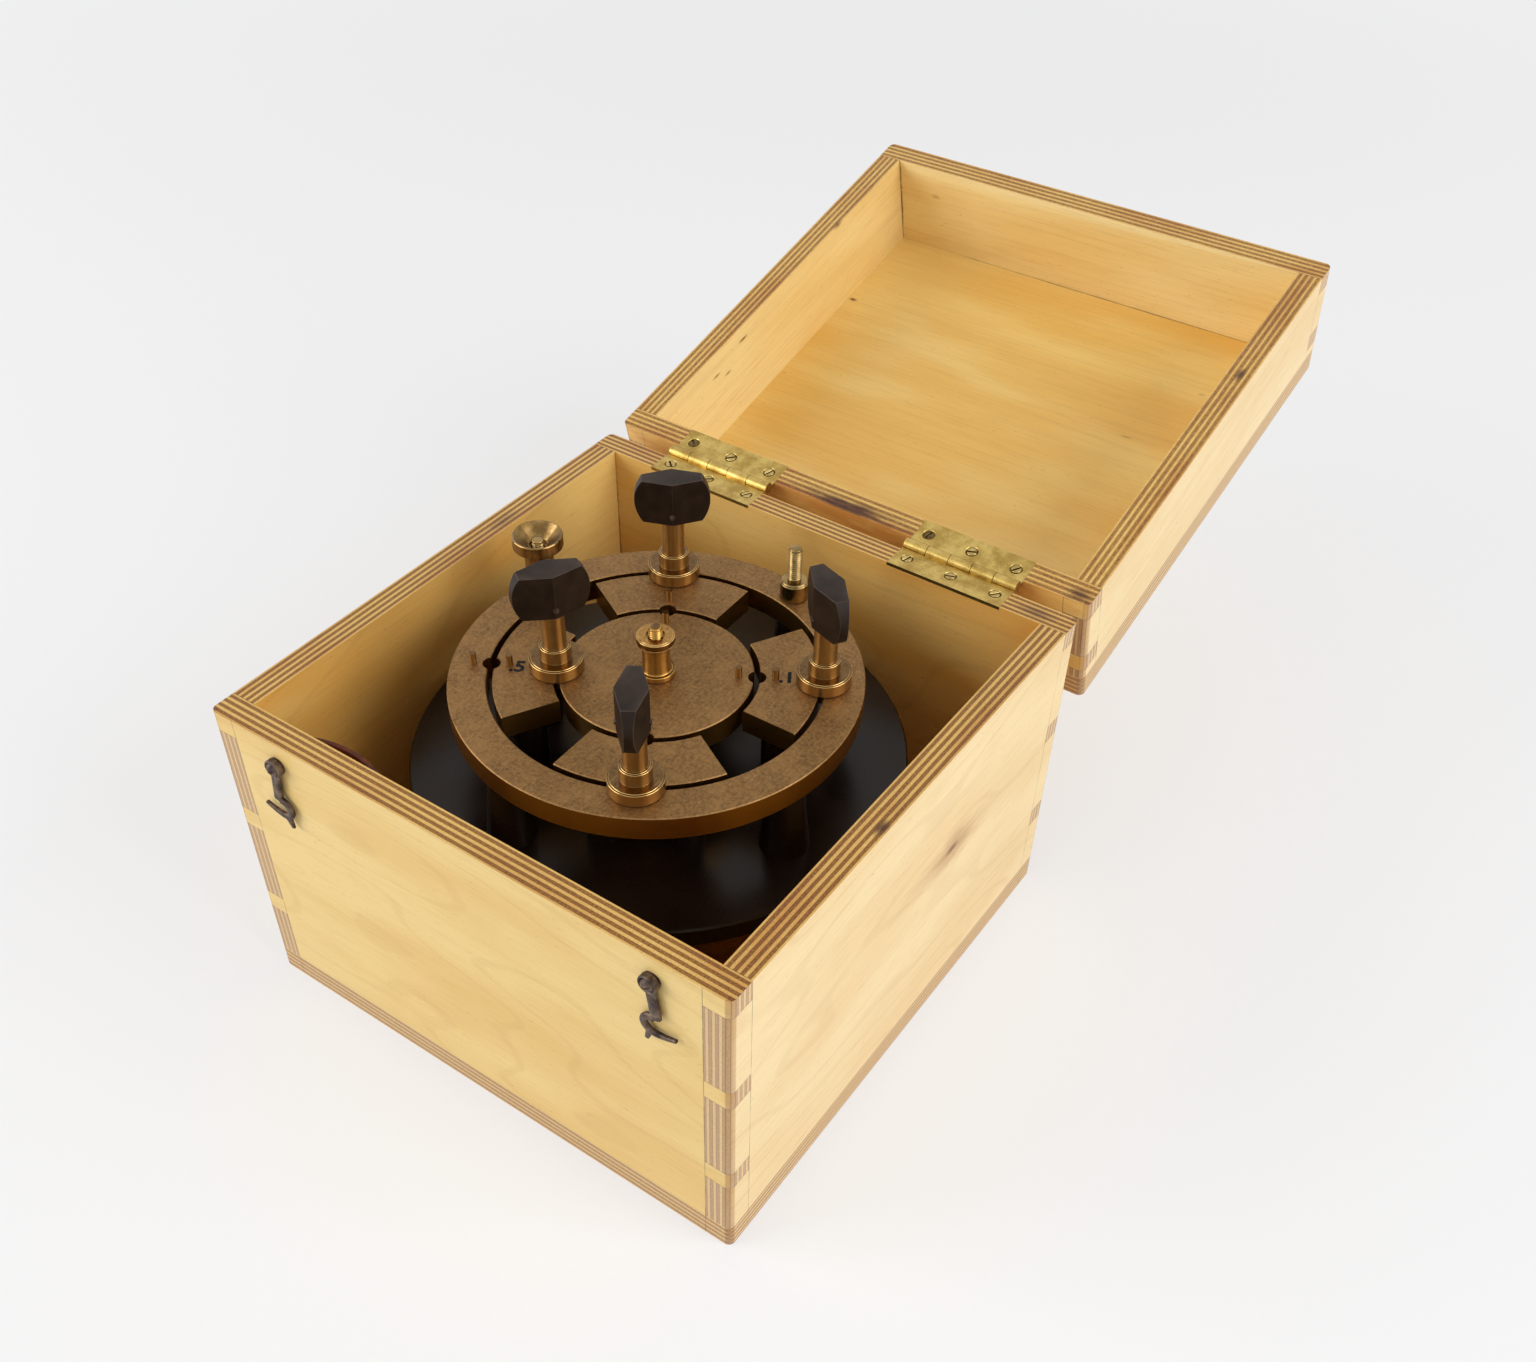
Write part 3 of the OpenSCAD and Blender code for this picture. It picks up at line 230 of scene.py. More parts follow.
# Sizes of what shows in the wood, in millimetres along the grain, across it and in depth
WANDER = (45, 45, 45)
BROAD_TONE = (150, 40, 60)
ARCHES = (210, 62, 90)
STREAKS = (130, 2.0, 20)
FIBRES = (22, 0.55, 2.5)
FLECKS = (3.2, 0.4, 2)
PORES = (0.9, 0.9, 0.4)
AGEING = (55, 12, 12)
RAGGED = (14, 3, 3)
BREAKS = (9, 9, 9)
BRUSHING = (26, 9, 9)
# How many arches the growth rings make, and how strong the arches and the streaks are
ARCH_COUNT = 62
FIGURED = (0.12, 0.06)
PLAIN = (0.03, 0.14)


def mix(factor, first, second, blend="MIX"):
    """One colour over another, each a socket or sRGB hex."""
    tones = [linear(tone) if isinstance(tone, str) else tone for tone in (first, second)]
    return add(tree_of(factor, *tones), "Mix", {0: factor, 6: tones[0], 7: tones[1]}, data_type="RGBA",
               blend_type=blend)[2]


def between(factor, first, second):
    """A number part of the way from the first to the second."""
    return add(tree_of(factor), "Mix", {0: factor, 2: first, 3: second}, data_type="FLOAT")[0]


def noise(place, size_mm, detail=2.0, rough=0.5):
    """Cloudy noise with features of one size, or of three sizes along x, y and z, in millimetres."""
    scale = 1.0
    if np.ndim(size_mm):
        place = vector("MULTIPLY", place, [1 / (s * MM) for s in size_mm])[0]
    else:
        scale = 1 / (size_mm * MM)
    return add(tree_of(place), "TexNoise", {"Vector": place, "Scale": scale, "Detail": detail,
                                            "Roughness": rough})[0]


def bump(height, deep_mm, strength=1.0):
    """A normal for a surface that rises by up to a depth in millimetres as the height goes from 0 to 1."""
    return add(tree_of(height), "Bump",
               {"Height": height, "Strength": strength, "Distance": deep_mm * MM})[0]


def shade(material, sockets):
    """Ends a material with a surface that has these sockets, and gives it back."""
    tree = material.node_tree
    add(tree, "OutputMaterial", {"Surface": add(tree, "BsdfPrincipled", sockets)[0]})
    return material


def dress(material, *names):
    """Gives CAD nodes one material."""
    for name in names:
        mesh = frame["nodes"][name].data
        mesh.materials.clear()
        mesh.materials.append(material)


def corners_of(name):
    """The mesh points of a CAD node, in metres."""
    mesh = frame["nodes"][name].data
    points = np.empty(len(mesh.vertices) * 3, np.float32)
    mesh.vertices.foreach_get("co", points)
    return points.reshape(-1, 3).astype(float)


def extent(name, turn=None):
    """Lowest and highest corner of a CAD node, in metres, after a turn given as a 4 x 4 matrix."""
    points = corners_of(name)
    if turn is not None:
        matrix = np.array(turn)
        points = points @ matrix[:3, :3].T + matrix[:3, 3]
    return points.min(0), points.max(0)


def birch_ply(board, rim_z, tongue_h, outside, inside, rim_end, turn=None, marks=()):
    """Varnished birch plywood for one board. The depth below the outer face picks the ply, and the way
    the surface faces says whether that ply shows its long grain or its end grain there. The outside, the
    inside and the end grain on the rim have two tones each. Marks are knots, stains, nicks and painted
    shade, each with its middle and its radii in millimetres, its colour, its strength and whether it is on
    the rim alone. The veneer of the lid and of level panels is plainer, and a panel's edges have drunk
    more varnish than a wall's upright edges."""
    material, tree, place = new_material("varnished_birch_ply_" + board)
    low, high = extent(board, turn)
    depth = int(np.argmin(high - low))
    grain = 1 if depth == 0 else 0
    across = 3 - depth - grain
    facing = add(tree, "TexCoord")["Normal"]
    if turn is not None:
        spin = turn.to_euler()
        place = add(tree, "Mapping", {"Vector": place, "Location": turn.translation, "Rotation": spin},
                    vector_type="POINT")[0]
        facing = add(tree, "Mapping", {"Vector": facing, "Rotation": spin}, vector_type="VECTOR")[0]
    xyz = add(tree, "SeparateXYZ", {0: place})
    toward = add(tree, "SeparateXYZ", {0: vector("MULTIPLY", facing, facing)[0]})

    def cloud(size_mm, detail=2.0):
        """Noise with features of these sizes along the grain, across it and in depth."""
        size = [0, 0, 0]
        size[grain], size[across], size[depth] = size_mm
        return noise(place, size, detail)

    def thin_line(distance):
        """1 on a joint's line, falling to 0 beside it."""
        return ramp(calc("ABSOLUTE", distance), JOINT_LINE * MM, 0.3 * JOINT_LINE * MM)

    # Which ply this depth is in: sin(pi f) is positive in the plies whose grain runs with the faces
    wander = ramp(cloud(WANDER), 0.0, 1.0, -PLY_WANDER, PLY_WANDER, "LINEAR")
    ply = add(tree, "MapRange", {"Value": xyz[depth], "From Min": low[depth], "From Max": high[depth],
                                 "To Min": SANDED, "To Max": PLIES - SANDED}, clamp=False)[0]
    wave = calc("SINE", calc("MULTIPLY", calc("ADD", ply, wander), math.pi))
    end_grain = between(ramp(wave, 0.3, -0.3), toward[grain], toward[across])
    cut_edge = ramp(toward[depth], 0.75, 0.35)

    # The inside faces take a deeper tone than the outside. Both back walls take the inside tone all over, a
    # painted shade for the gap between lid and box at the hinges.
    inner_x = box_half_w - PLY_T * MM
    inner_y = box_half_d - PLY_T * MM
    abs_x = calc("ABSOLUTE", xyz[0])
    abs_y = calc("ABSOLUTE", xyz[1])
    from_middle = calc("ABSOLUTE", calc("SUBTRACT", xyz[2], closed_h / 2))
    inner_tone_and_gap_shade = calc("LESS_THAN", from_middle, closed_h / 2 - (PLY_T - SLACK) * MM)
    for distance, wall in ((abs_x, inner_x), (abs_y, inner_y)):
        inner_tone_and_gap_shade = calc("MINIMUM", inner_tone_and_gap_shade, calc("LESS_THAN", distance, wall + SLACK * MM))
    # Painted shade: the back walls' outer faces take the inside tone, for the gap at the hinges
    if board.endswith("back_wall"):
        inner_tone_and_gap_shade = 1.0

    # The face veneer: broad tone, thin arches, streaks, fibres and short dark flecks
    broad = ramp(cloud(BROAD_TONE), 0.36, 0.66)
    tone = mix(inner_tone_and_gap_shade, mix(broad, *outside), mix(broad, *inside))
    arches = calc("SINE", calc("MULTIPLY", cloud(ARCHES, 1.0), ARCH_COUNT))
    arch_share, streak_share = PLAIN if depth == 2 or turn is not None else FIGURED
    tone = mix(ramp(arches, 0.8, 1.0, 0.0, arch_share), tone, FIGURE)
    tone = mix(ramp(cloud(STREAKS, 3.0), 0.42, 0.78, 0.0, streak_share), tone, FIGURE)
    fibres = cloud(FIBRES, 3.0)
    tone = mix(ramp(fibres, 0.46, 0.75, 0.0, 0.2), tone, FIGURE)
    veneer = mix(ramp(cloud(FLECKS, 1.0), 0.73, 0.8, 0.0, 0.55), tone, FLECK)

    # The cut edges: end grain between long grain, with a dark glue line on each side of a ply
    pores = ramp(cloud(PORES, 3.0), 0.35, 0.7)
    drunk = PANEL_DRUNK if depth == 2 else toward[2]
    long_edge = mix(drunk, mix(pores, *SIDE_LONG), mix(pores, *RIM_LONG))
    end_edge = mix(drunk, mix(pores, *SIDE_END), mix(pores, *rim_end))
    glue = ramp(calc("ABSOLUTE", wave), 0.4, 0.08, 0.0, 0.5)
    edges = mix(glue, mix(end_grain, long_edge, end_edge), GLUE_LINE)
    aged = calc("MULTIPLY", ramp(cloud(AGEING, 3.0), 0.42, 0.7, 0.0, 0.6), toward[2])
    colour = mix(cut_edge, veneer, mix(aged, edges, RIM_AGED, "MULTIPLY"))

    # Knots, stains, nicks and painted shade
    for middle, radii, mark_colour, strength, on_rim in marks:
        off = vector("SUBTRACT", place, [v * MM for v in middle])[0]
        shrunk = vector("MULTIPLY", off, [1 / (r * MM) for r in radii])[0]
        reach = vector("LENGTH", shrunk)["Value"]
        ragged = calc("ADD", reach, calc("MULTIPLY", cloud(RAGGED, 3.0), 0.9))
        mask = ramp(ragged, 1.35, 0.45, 0.0, strength)
        if on_rim:
            mask = calc("MULTIPLY", mask, toward[2])
        colour = mix(mask, colour, mark_colour, "MULTIPLY")

    # The rounded corners, where the sander went through the outer plies
    over = [ramp(distance, half - CORNER * MM, half - 0.8 * CORNER * MM)
            for distance, half in ((abs_x, box_half_w), (abs_y, box_half_d))]
    sanded = calc("MULTIPLY", calc("MULTIPLY", *over), 0.45)
    colour = mix(sanded, colour, CORNER_BROWN, "MULTIPLY")

    # The glue lines of the finger joints, and the joiner's scribed shoulder lines
    past_x = calc("GREATER_THAN", abs_x, inner_x)
    past_y = calc("GREATER_THAN", abs_y, inner_y)
    period = (FINGER_H + tongue_h) * MM
    down = calc("MULTIPLY", calc("SUBTRACT", xyz[2], rim_z), -1.0 if turn is None else 1.0)
    to_top = calc("PINGPONG", down, period / 2)
    to_low = calc("PINGPONG", calc("SUBTRACT", down, FINGER_H * MM), period / 2)
    line_x = calc("MULTIPLY", thin_line(calc("SUBTRACT", abs_x, inner_x)), toward[1])
    shows_y = calc("MAXIMUM", toward[0], calc("MULTIPLY", toward[2], past_x))
    line_y = calc("MULTIPLY", thin_line(calc("SUBTRACT", abs_y, inner_y)), shows_y)
    in_corner = calc("MAXIMUM", calc("MULTIPLY", past_x, toward[1]),
                     calc("MULTIPLY", past_y, toward[0]))
    line_z = calc("MULTIPLY", thin_line(calc("MINIMUM", to_top, to_low)), in_corner)
    lines = calc("MAXIMUM", calc("MAXIMUM", line_x, line_y), line_z)
    broken = calc("MULTIPLY", lines, ramp(cloud(BREAKS), 0.3, 0.6, 0.25, 0.8))
    colour = mix(broken, colour, JOINT_DARK)

    relief = calc("MULTIPLY", calc("SUBTRACT", fibres, end_grain), 0.5)
    return shade(material, {
        "Base Color": colour, "Roughness": ramp(fibres, 0.3, 0.7, 0.42, 0.55), "IOR": 1.5,
        "Specular IOR Level": 0.3, "Coat Weight": 0.25, "Coat Roughness": 0.16,
        "Normal": bump(relief, 0.12, 0.2),
        "Coat Normal": bump(cloud(BRUSHING), 0.5, 0.3),
    })


def ease(board):
    """Sands a board's edges: its triangles are welded, and its sharp edges are rounded."""
    node = frame["nodes"][board]
    weld = node.modifiers.new("welded", "WELD")
    weld.merge_threshold = WELD_REACH * MM
    sanded = node.modifiers.new("sanded_edges", "BEVEL")
    sanded.width = EASED * MM
    sanded.segments = 2
    sanded.limit_method = "ANGLE"
    sanded.angle_limit = SHARP_EDGE


box_half_w, box_half_d = (float(v) for v in extent("box_bottom")[1][:2])
box_rim_z = float(extent("box_front_wall")[1][2])
lid_joint = next(j for j in frame["joints"] if j["child"] == "lid")
closing = Matrix.Rotation(math.radians(lid_joint["range_deg"][0]), 4, Vector(lid_joint["axis"]))
lid_axis = Matrix.Translation(Vector(lid_joint["pos_m"]))
lid_closed = lid_axis @ closing @ lid_axis.inverted()
closed_h = float(extent("lid_top", lid_closed)[1][2])
# The box's marks: a knot, stains on the rim, and painted shade down the back wall's inner corner
box_marks = {
    "box_right_wall": (
        ((125, 26.0, 94.8), (8, 62, 13), KNOT, 0.25, False),
        ((125, 31.0, 95.8), (8, 27, 17), KNOT, 0.45, False),
        ((125, 30.0, 95.4), (8, 7, 3.4), KNOT_HEART, 0.9, False),
        ((122.4, -27.7, 153), (4, 7, 8), STAIN, 0.9, True),
    ),
    "box_left_wall": (((-118, 40, 153), (5, 16, 8), STAIN, 0.5, True),),
    "box_back_wall": (
        ((108, 119, 153), (14, 6, 8), STAIN, 0.6, True),
        ((-113, 113, 80), (1.3, 4, 95), CORNER_SHADE_LINE, 0.9, False),
    ),
}
for board in ("box_bottom", "box_front_wall", "box_back_wall", "box_left_wall", "box_right_wall"):
    # The right wall's outside is painted paler, a painted sheen from the lamp on the right
    outside = FACE_PAINTED_SHEEN if board == "box_right_wall" else FACE_OUTSIDE
    wood = birch_ply(board, box_rim_z, BOX_TONGUE_H, outside, FACE_INSIDE, RIM_END,
                     marks=box_marks.get(board, ()))
    dress(wood, board)
    ease(board)

# The lid
# The same plywood, made as a shallower box and hinged to the back wall. It lies open, so its grain is
# worked out in the place it has when closed. Old stains run along the rim between the hinges, and
# painted shade darkens the back wall's outer face, which lies in the gap at the hinges.
LID_TONGUE_H = 24.5
LID_FLOOR = ("#fbd986", "#f1c164")
LID_SIDES = ("#f8e0a0", "#f0d088")
LID_RIM_END = ("#8e6028", "#c49648")
NICK = "#7d5228"
# Painted shade for the lid back wall's outer face, in the gap at the hinges
SHADED = "#cf9a5a"
PURPLE_STAIN = "#6b3f4a"

lid_rim_z = float(extent("lid_front_wall", lid_closed)[0][2])
# Among the lid's marks, painted shade lines run along its inner corners
lid_marks = {
    "lid_back_wall": (
        ((0, 125, 154), (170, 5, 17), SHADED, 0.8, False),
        ((4, 122, 153.5), (44, 7, 9), STAIN, 1.0, True),
        ((118, 121, 153.5), (9, 6, 9), PURPLE_STAIN, 0.8, True),
    ),
    "lid_right_wall": (((119.4, -33.8, 153.5), (3, 8, 8), STAIN, 0.95, True),),
    "lid_left_wall": (
        ((-113, 40.4, 161.2), (3, 5.5, 1.2), NICK, 1.0, False),
        ((-113, 55.8, 171.1), (3, 4.5, 1.1), NICK, 1.0, False),
        ((-113, 64.5, 166.3), (3, 5.0, 1.1), NICK, 1.0, False),
        ((-113, -50.8, 153.5), (3, 7, 3), NICK, 0.8, False),
    ),
    "lid_front_wall": (
        ((-90.6, -113, 169.7), (5, 3, 2.2), NICK, 0.4, False),
        ((-113, -113, 178), (1.5, 4, 46), CORNER_SHADE_LINE, 0.95, False),
    ),
    "lid_top": (
        ((-109.7, -54.3, 202.5), (3.4, 2, 3), NICK, 1.0, False),
        ((90.6, -67, 202.5), (3.6, 1.2, 3), NICK, 0.4, False),
        ((71.3, -22.8, 202.5), (4.5, 1.0, 3), NICK, 0.4, False),
        ((20, -113, 202.5), (170, 1.2, 3), CORNER_SHADE_LINE, 0.7, False),
    ),
}
for board in ("lid_top", "lid_front_wall", "lid_back_wall", "lid_left_wall", "lid_right_wall"):
    # The lid's right wall is painted paler outside, a painted sheen from the lamp on the right
    outside = FACE_PAINTED_SHEEN if board == "lid_right_wall" else FACE_OUTSIDE
    inside = LID_FLOOR if board in ("lid_top", "lid_back_wall") else LID_SIDES
    wood = birch_ply(board, lid_rim_z, LID_TONGUE_H, outside, inside, LID_RIM_END,
                     turn=lid_closed, marks=lid_marks.get(board, ()))
    dress(wood, board)
    ease(board)

# The hinges
# Two butt hinges of rolled brass sheet, let into the rims and held by slotted brass screws set by hand.
# The metal is bright yellow with a green cast, drawn lengthwise, and dirty in small spots.
HINGE_BRIGHT = "#ccb066"
HINGE_DULL = "#a88a47"
HINGE_DIRT = "#5d471e"
TOOL_LINE_L = 30.0
SPOT_SHARE = 0.09
# Turned pieces spread light upright, a little off it so that this never lies along a face's normal
NEARLY_UPRIGHT = (0.01, 0.007, 1.0)


def lathe_spread(tree, amount, fades=(0.9, 0.98)):
    """Turning lines run round a piece and spread each highlight up and down its sides, so a lamp makes
    an upright bright band on a post and a bright sector in a dish. It fades as the surface turns up."""
    facing = add(tree, "SeparateXYZ", {0: add(tree, "TexCoord")["Normal"]})[2]
    upright = add(tree, "CombineXYZ", dict(zip("XYZ", NEARLY_UPRIGHT)))
    return {"Anisotropic": ramp(facing, *fades, amount, 0.0, "LINEAR"), "Tangent": upright[0]}


def brass(name, bright, dull, dirt, patch_mm, line_mm, line_axis, rough, dirty=0.35, cut_mm=0.006, spread=0):
    """Brass with a patina: cloudy patches between a bright and a dull colour, dirt in small spots, and
    fine tool lines that follow each other along one axis (0, 1 or 2) and are cut to a small depth. On
    turned pieces, which have a spread, they draw the highlights up and down."""
    material, tree, place = new_material(name)
    patches = noise(place, patch_mm, 4.0, 0.62)
    spots = noise(place, SPOT_SHARE * patch_mm, 3.0)
    size = [TOOL_LINE_L] * 3
    size[line_axis] = line_mm
    base = mix(ramp(patches, 0.36, 0.66), bright, dull)
    colour = mix(ramp(spots, 0.52, 0.74, 0.0, dirty), base, dirt)
    sheen = lathe_spread(tree, spread) if spread else {}
    return shade(material, {
        "Base Color": colour, "Metallic": 1.0,
        "Roughness": ramp(patches, 0.3, 0.7, *rough, "LINEAR"),
        "Normal": bump(noise(place, size), cut_mm), **sheen,
    })


hinge_brass = brass("rolled_hinge_brass", HINGE_BRIGHT, HINGE_DULL, HINGE_DIRT, 9, 0.25, 1, (0.28, 0.45))
screw_brass = brass("screw_brass", "#cbb272", "#a58b50", HINGE_DIRT, 4, 0.2, 1, (0.2, 0.35))
# Dark brass for the screws' cores: painted shade in the slots and in a ring round each head, and the real
# tarnish of two browned heads on the lid
tarnish_and_slot_shade = brass("tarnished_brass_and_slot_shade", "#766039", "#4a3b21", "#241b0f", 2, 0.2, 1, (0.5, 0.7))
dress(hinge_brass, "hinge_left_box_leaf", "hinge_right_box_leaf", "hinge_left_lid_leaf",
      "hinge_right_lid_leaf", "hinge_pins")
dress(screw_brass, "strap_tacks")

SCREW_PITCH = 21.8
SCREW_IN = 4.8
SCREW_HEAD_R = 2.6
SCREW_SHANK_R = 1.4
SCREW_TIP_R = 0.2
SCREW_L = 14.0
SCREW_CONE = 2.0
SCREW_BREAK = 0.12
SCREW_COLS = 24
SLOT_W = 0.9
SLOT_DEEP = 0.7
SHADE_RING = 0.35
SHADE_RING_DEEP = 0.1
SLOT_TURNS = {"left": (-42, 38, 63), "right": (75, 20, 50)}


def skin(points, ring=False):
    """Faces over a grid of points whose columns go round the piece: each square of neighbours is a face
    and the last column joins the first. A ring's last row joins its first, and flat faces close other
    ends."""
    rows, cols = points.shape[:2]
    index = np.arange(rows * cols).reshape(rows, cols)
    if ring:
        index = np.concatenate([index, index[:1]])
    beside = np.roll(index, -1, axis=1)
    faces = np.stack([index[:-1], beside[:-1], beside[1:], index[1:]], axis=-1).reshape(-1, 4).tolist()
    if not ring:
        faces += [index[0, ::-1].tolist(), index[-1].tolist()]
    return points.reshape(-1, 3), faces


def piece(name, parts, material, smooth=35.0):
    """A new object at the origin made of closed skins, shaded smooth below the given angle in degrees."""
    points, faces, start = [], [], 0
    for some_points, some_faces in parts:
        points.append(some_points)
        faces += [[start + i for i in face] for face in some_faces]
        start += len(some_points)
    mesh = bpy.data.meshes.new(name)
    mesh.from_pydata((np.concatenate(points) * MM).tolist(), [], faces)
    mesh.polygons.foreach_set("use_smooth", np.ones(len(mesh.polygons), bool))
    mesh.set_sharp_from_angle(angle=math.radians(smooth))
    mesh.materials.append(material)
    made = bpy.data.objects.new(name, mesh)
    bpy.context.scene.collection.objects.link(made)
    flats = made.modifiers.new("flats_shaded_flat", "WEIGHTED_NORMAL")
    flats.keep_sharp = True
    return made


def placed(parts, matrix):
    """Skins moved by a 4 x 4 matrix in metres, with their faces turned over where it mirrors."""
    m = np.array(matrix)
    flip = -1 if np.linalg.det(m[:3, :3]) < 0 else 1
    return [(points @ m[:3, :3].T + m[:3, 3] / MM, [face[::flip] for face in faces])
            for points, faces in parts]


def turned(profile, axis, cols=64, thread=None, milled=None):
    """A profile of (radius, height) turned about an upright axis. A thread, given as its lowest and
    highest height, pitch and depth, cuts the radius by a triangle wave of height / pitch - turn / full
    turn. A milled edge, given as its lowest and highest height, least radius and depth, sinks every
    second column."""
    turn = np.linspace(0, 2 * math.pi, cols, endpoint=False)
    r = np.repeat(profile[:, :1], cols, axis=1)
    z = np.repeat(profile[:, 1:], cols, axis=1)
    if thread is not None:
        bottom, top, pitch, depth = thread
        phase = (z / pitch - turn[None, :] / (2 * math.pi)) % 1.0
        groove = depth * (1 - np.abs(2 * phase - 1))
        r = np.where((z > bottom) & (z < top), r - groove, r)
    if milled is not None:
        bottom, top, least, depth = milled
        r = np.where((z > bottom) & (z < top) & (r > least), r - depth * (np.arange(cols) % 2), r)
    x = r * np.cos(turn) + axis.x / MM
    y = r * np.sin(turn) + axis.y / MM
    return np.stack([x, y, z + axis.z / MM], axis=-1)


def slotted_screw(turn):
    """A countersunk wood screw with its head level with z = 0: half a disc on each side of the slot, and
    under them a turned core that makes the point, the shank, the cone, a ring round the head and the
    slot's floor. The ring stands for the shade in the countersink's gap, and it and the slot's floor are
    painted dark with the core."""
    parts = []
    head_r = SCREW_HEAD_R - SHADE_RING
    for half in (0, math.pi):
        rows = []
        for z, inset in ((-SLOT_DEEP, 0), (-SCREW_BREAK, 0), (0, SCREW_BREAK)):
            radius = head_r - inset
            edge = math.asin((SLOT_W / 2 + inset) / radius)
            arc = np.linspace(edge, math.pi - edge, SCREW_COLS) + half + math.radians(turn)
            level = np.full(SCREW_COLS, z)
            rows.append(np.stack([radius * np.cos(arc), radius * np.sin(arc), level], axis=-1))
        parts.append(skin(np.stack(rows)))
    core = np.array([(SCREW_TIP_R, -SCREW_L), (SCREW_SHANK_R, SCREW_CONE - SCREW_L),
                     (SCREW_SHANK_R, -SCREW_CONE), (SCREW_HEAD_R, -SLOT_DEEP), (SCREW_HEAD_R, -SHADE_RING_DEEP),
                     (head_r, -SHADE_RING_DEEP), (head_r, -SLOT_DEEP)])
    return parts, [skin(turned(core, Vector((0, 0, 0)), SCREW_COLS))]


for body, rim_z, opened, upside in (
    ("box", box_rim_z, Matrix(), 0),
    ("lid", lid_rim_z, lid_closed.inverted(), 180),
):
    heads = []
    cores = []
    for side, slot_turns in SLOT_TURNS.items():
        low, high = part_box("hinge_" + side + "_box_leaf")
        for i, slot_turn in enumerate(slot_turns):
            x = (low.x + high.x) / 2 + (i - 1) * SCREW_PITCH * MM
            spot = Matrix.Translation(Vector((x, box_half_d - SCREW_IN * MM, rim_z)))
            tip = Matrix.Rotation(math.radians(upside), 4, "X")
            head, core = slotted_screw(slot_turn)
            tarnished = body == "lid" and i == 0
            (cores if tarnished else heads).extend(placed(head, opened @ spot @ tip))
            cores.extend(placed(core, opened @ spot @ tip))
    screws = piece("slotted_" + body + "_hinge_screws", heads, screw_brass)
    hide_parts(body + "_hinge_screws")
    # The cores and the two tarnished heads: painted shade in the slots and round the heads, and real tarnish
    shanks = piece("tarnished_and_shaded_" + body + "_screw_slots", cores, tarnish_and_slot_shade)
    for made in (screws, shanks):
        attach(made, body)

# The hooks
# Two forged bronze hooks, browned, each swinging on a round-headed screw in the front wall, with a
# washer behind it. A hook has a cupped eye, a flat shank cut off at a lip, a curled bend with a tapering
# tail to catch a stud on the lid, and a short spur under the bend for the finger.
BRONZE = "#57483f"
BRONZE_WORN = "#8a7460"
BRONZE_DARK = "#2a201c"
HOOK_T = 2.2
EYE_R = 4.1
EYE_BORE = 1.65
EYE_RIM = 0.7
EYE_BREAK = (0.4, 0.3)
CUP_R = (3.3, 3.1)
SHANK_W = 4.6
SHANK_END = (2.3, -16.5)
LIP = 1.4
BAR_W = 3.4
TAIL_W = 2.8
TIP_W = 1.5
TIP_SHARE = 0.75
TAIL_Z = -26.3
HEEL_X = 1.6
BEND_IN = 1.5
BEND_OUT = 3.5
TAIL_L = 11.9
TAIL_RISE = 2.2
SPUR_TIP = (-2.2, -31.6)
SPUR_X = -0.6
SPUR_HALF_W = (1.6, 0.9)
SPUR_TIP_T = 0.6
SHANK_STEPS = 20
BEND_STEPS = 40
TAIL_STEPS = 30
SPUR_STEPS = 12
VOXEL = 0.22


def cubic(p, steps):
    """Points of a cubic curve with four control points, and the unit vectors to the left of its way."""
    t = np.linspace(0, 1, steps)[:, None]
    p = [np.array(v, float) for v in p]
    at = (1 - t) ** 3 * p[0] + 3 * (1 - t) ** 2 * t * p[1] + 3 * (1 - t) * t * t * p[2] + t ** 3 * p[3]
    run = (1 - t) ** 2 * (p[1] - p[0]) + 2 * (1 - t) * t * (p[2] - p[1]) + t * t * (p[3] - p[2])
    run = run / np.linalg.norm(run, axis=1, keepdims=True)
    return at, np.stack([-run[:, 1], run[:, 0]], axis=1)


def flat_bar(middle, left, half_w, half_t):
    """A bar along a line in the hook's plane. Its section is a superellipse, |a / w|^3 + |b / t|^3 = 1,
    with a across the line and b along the hook's thickness."""
    turn = np.linspace(0, 2 * math.pi, 24, endpoint=False)
    a = np.sign(np.cos(turn)) * np.abs(np.cos(turn)) ** (2 / 3)
    b = np.sign(np.sin(turn)) * np.abs(np.sin(turn)) ** (2 / 3)
    flat = middle[:, None, :] + left[:, None, :] * (half_w[:, None] * a)[:, :, None]
    thick = half_t[:, None] * b
    return np.stack([flat[..., 0], flat[..., 1], thick], axis=-1)


def straight_bar(start, end, half_w, half_t, steps):
    """A flat bar from a start to an end, with its half width and half thickness at both."""
    way = np.subtract(end, start)
    middle = start + np.linspace(0, 1, steps)[:, None] * way
    left = np.tile(np.array([-way[1], way[0]]) / np.linalg.norm(way), (steps, 1))
    return flat_bar(middle, left, np.linspace(*half_w, steps), np.linspace(*half_t, steps))


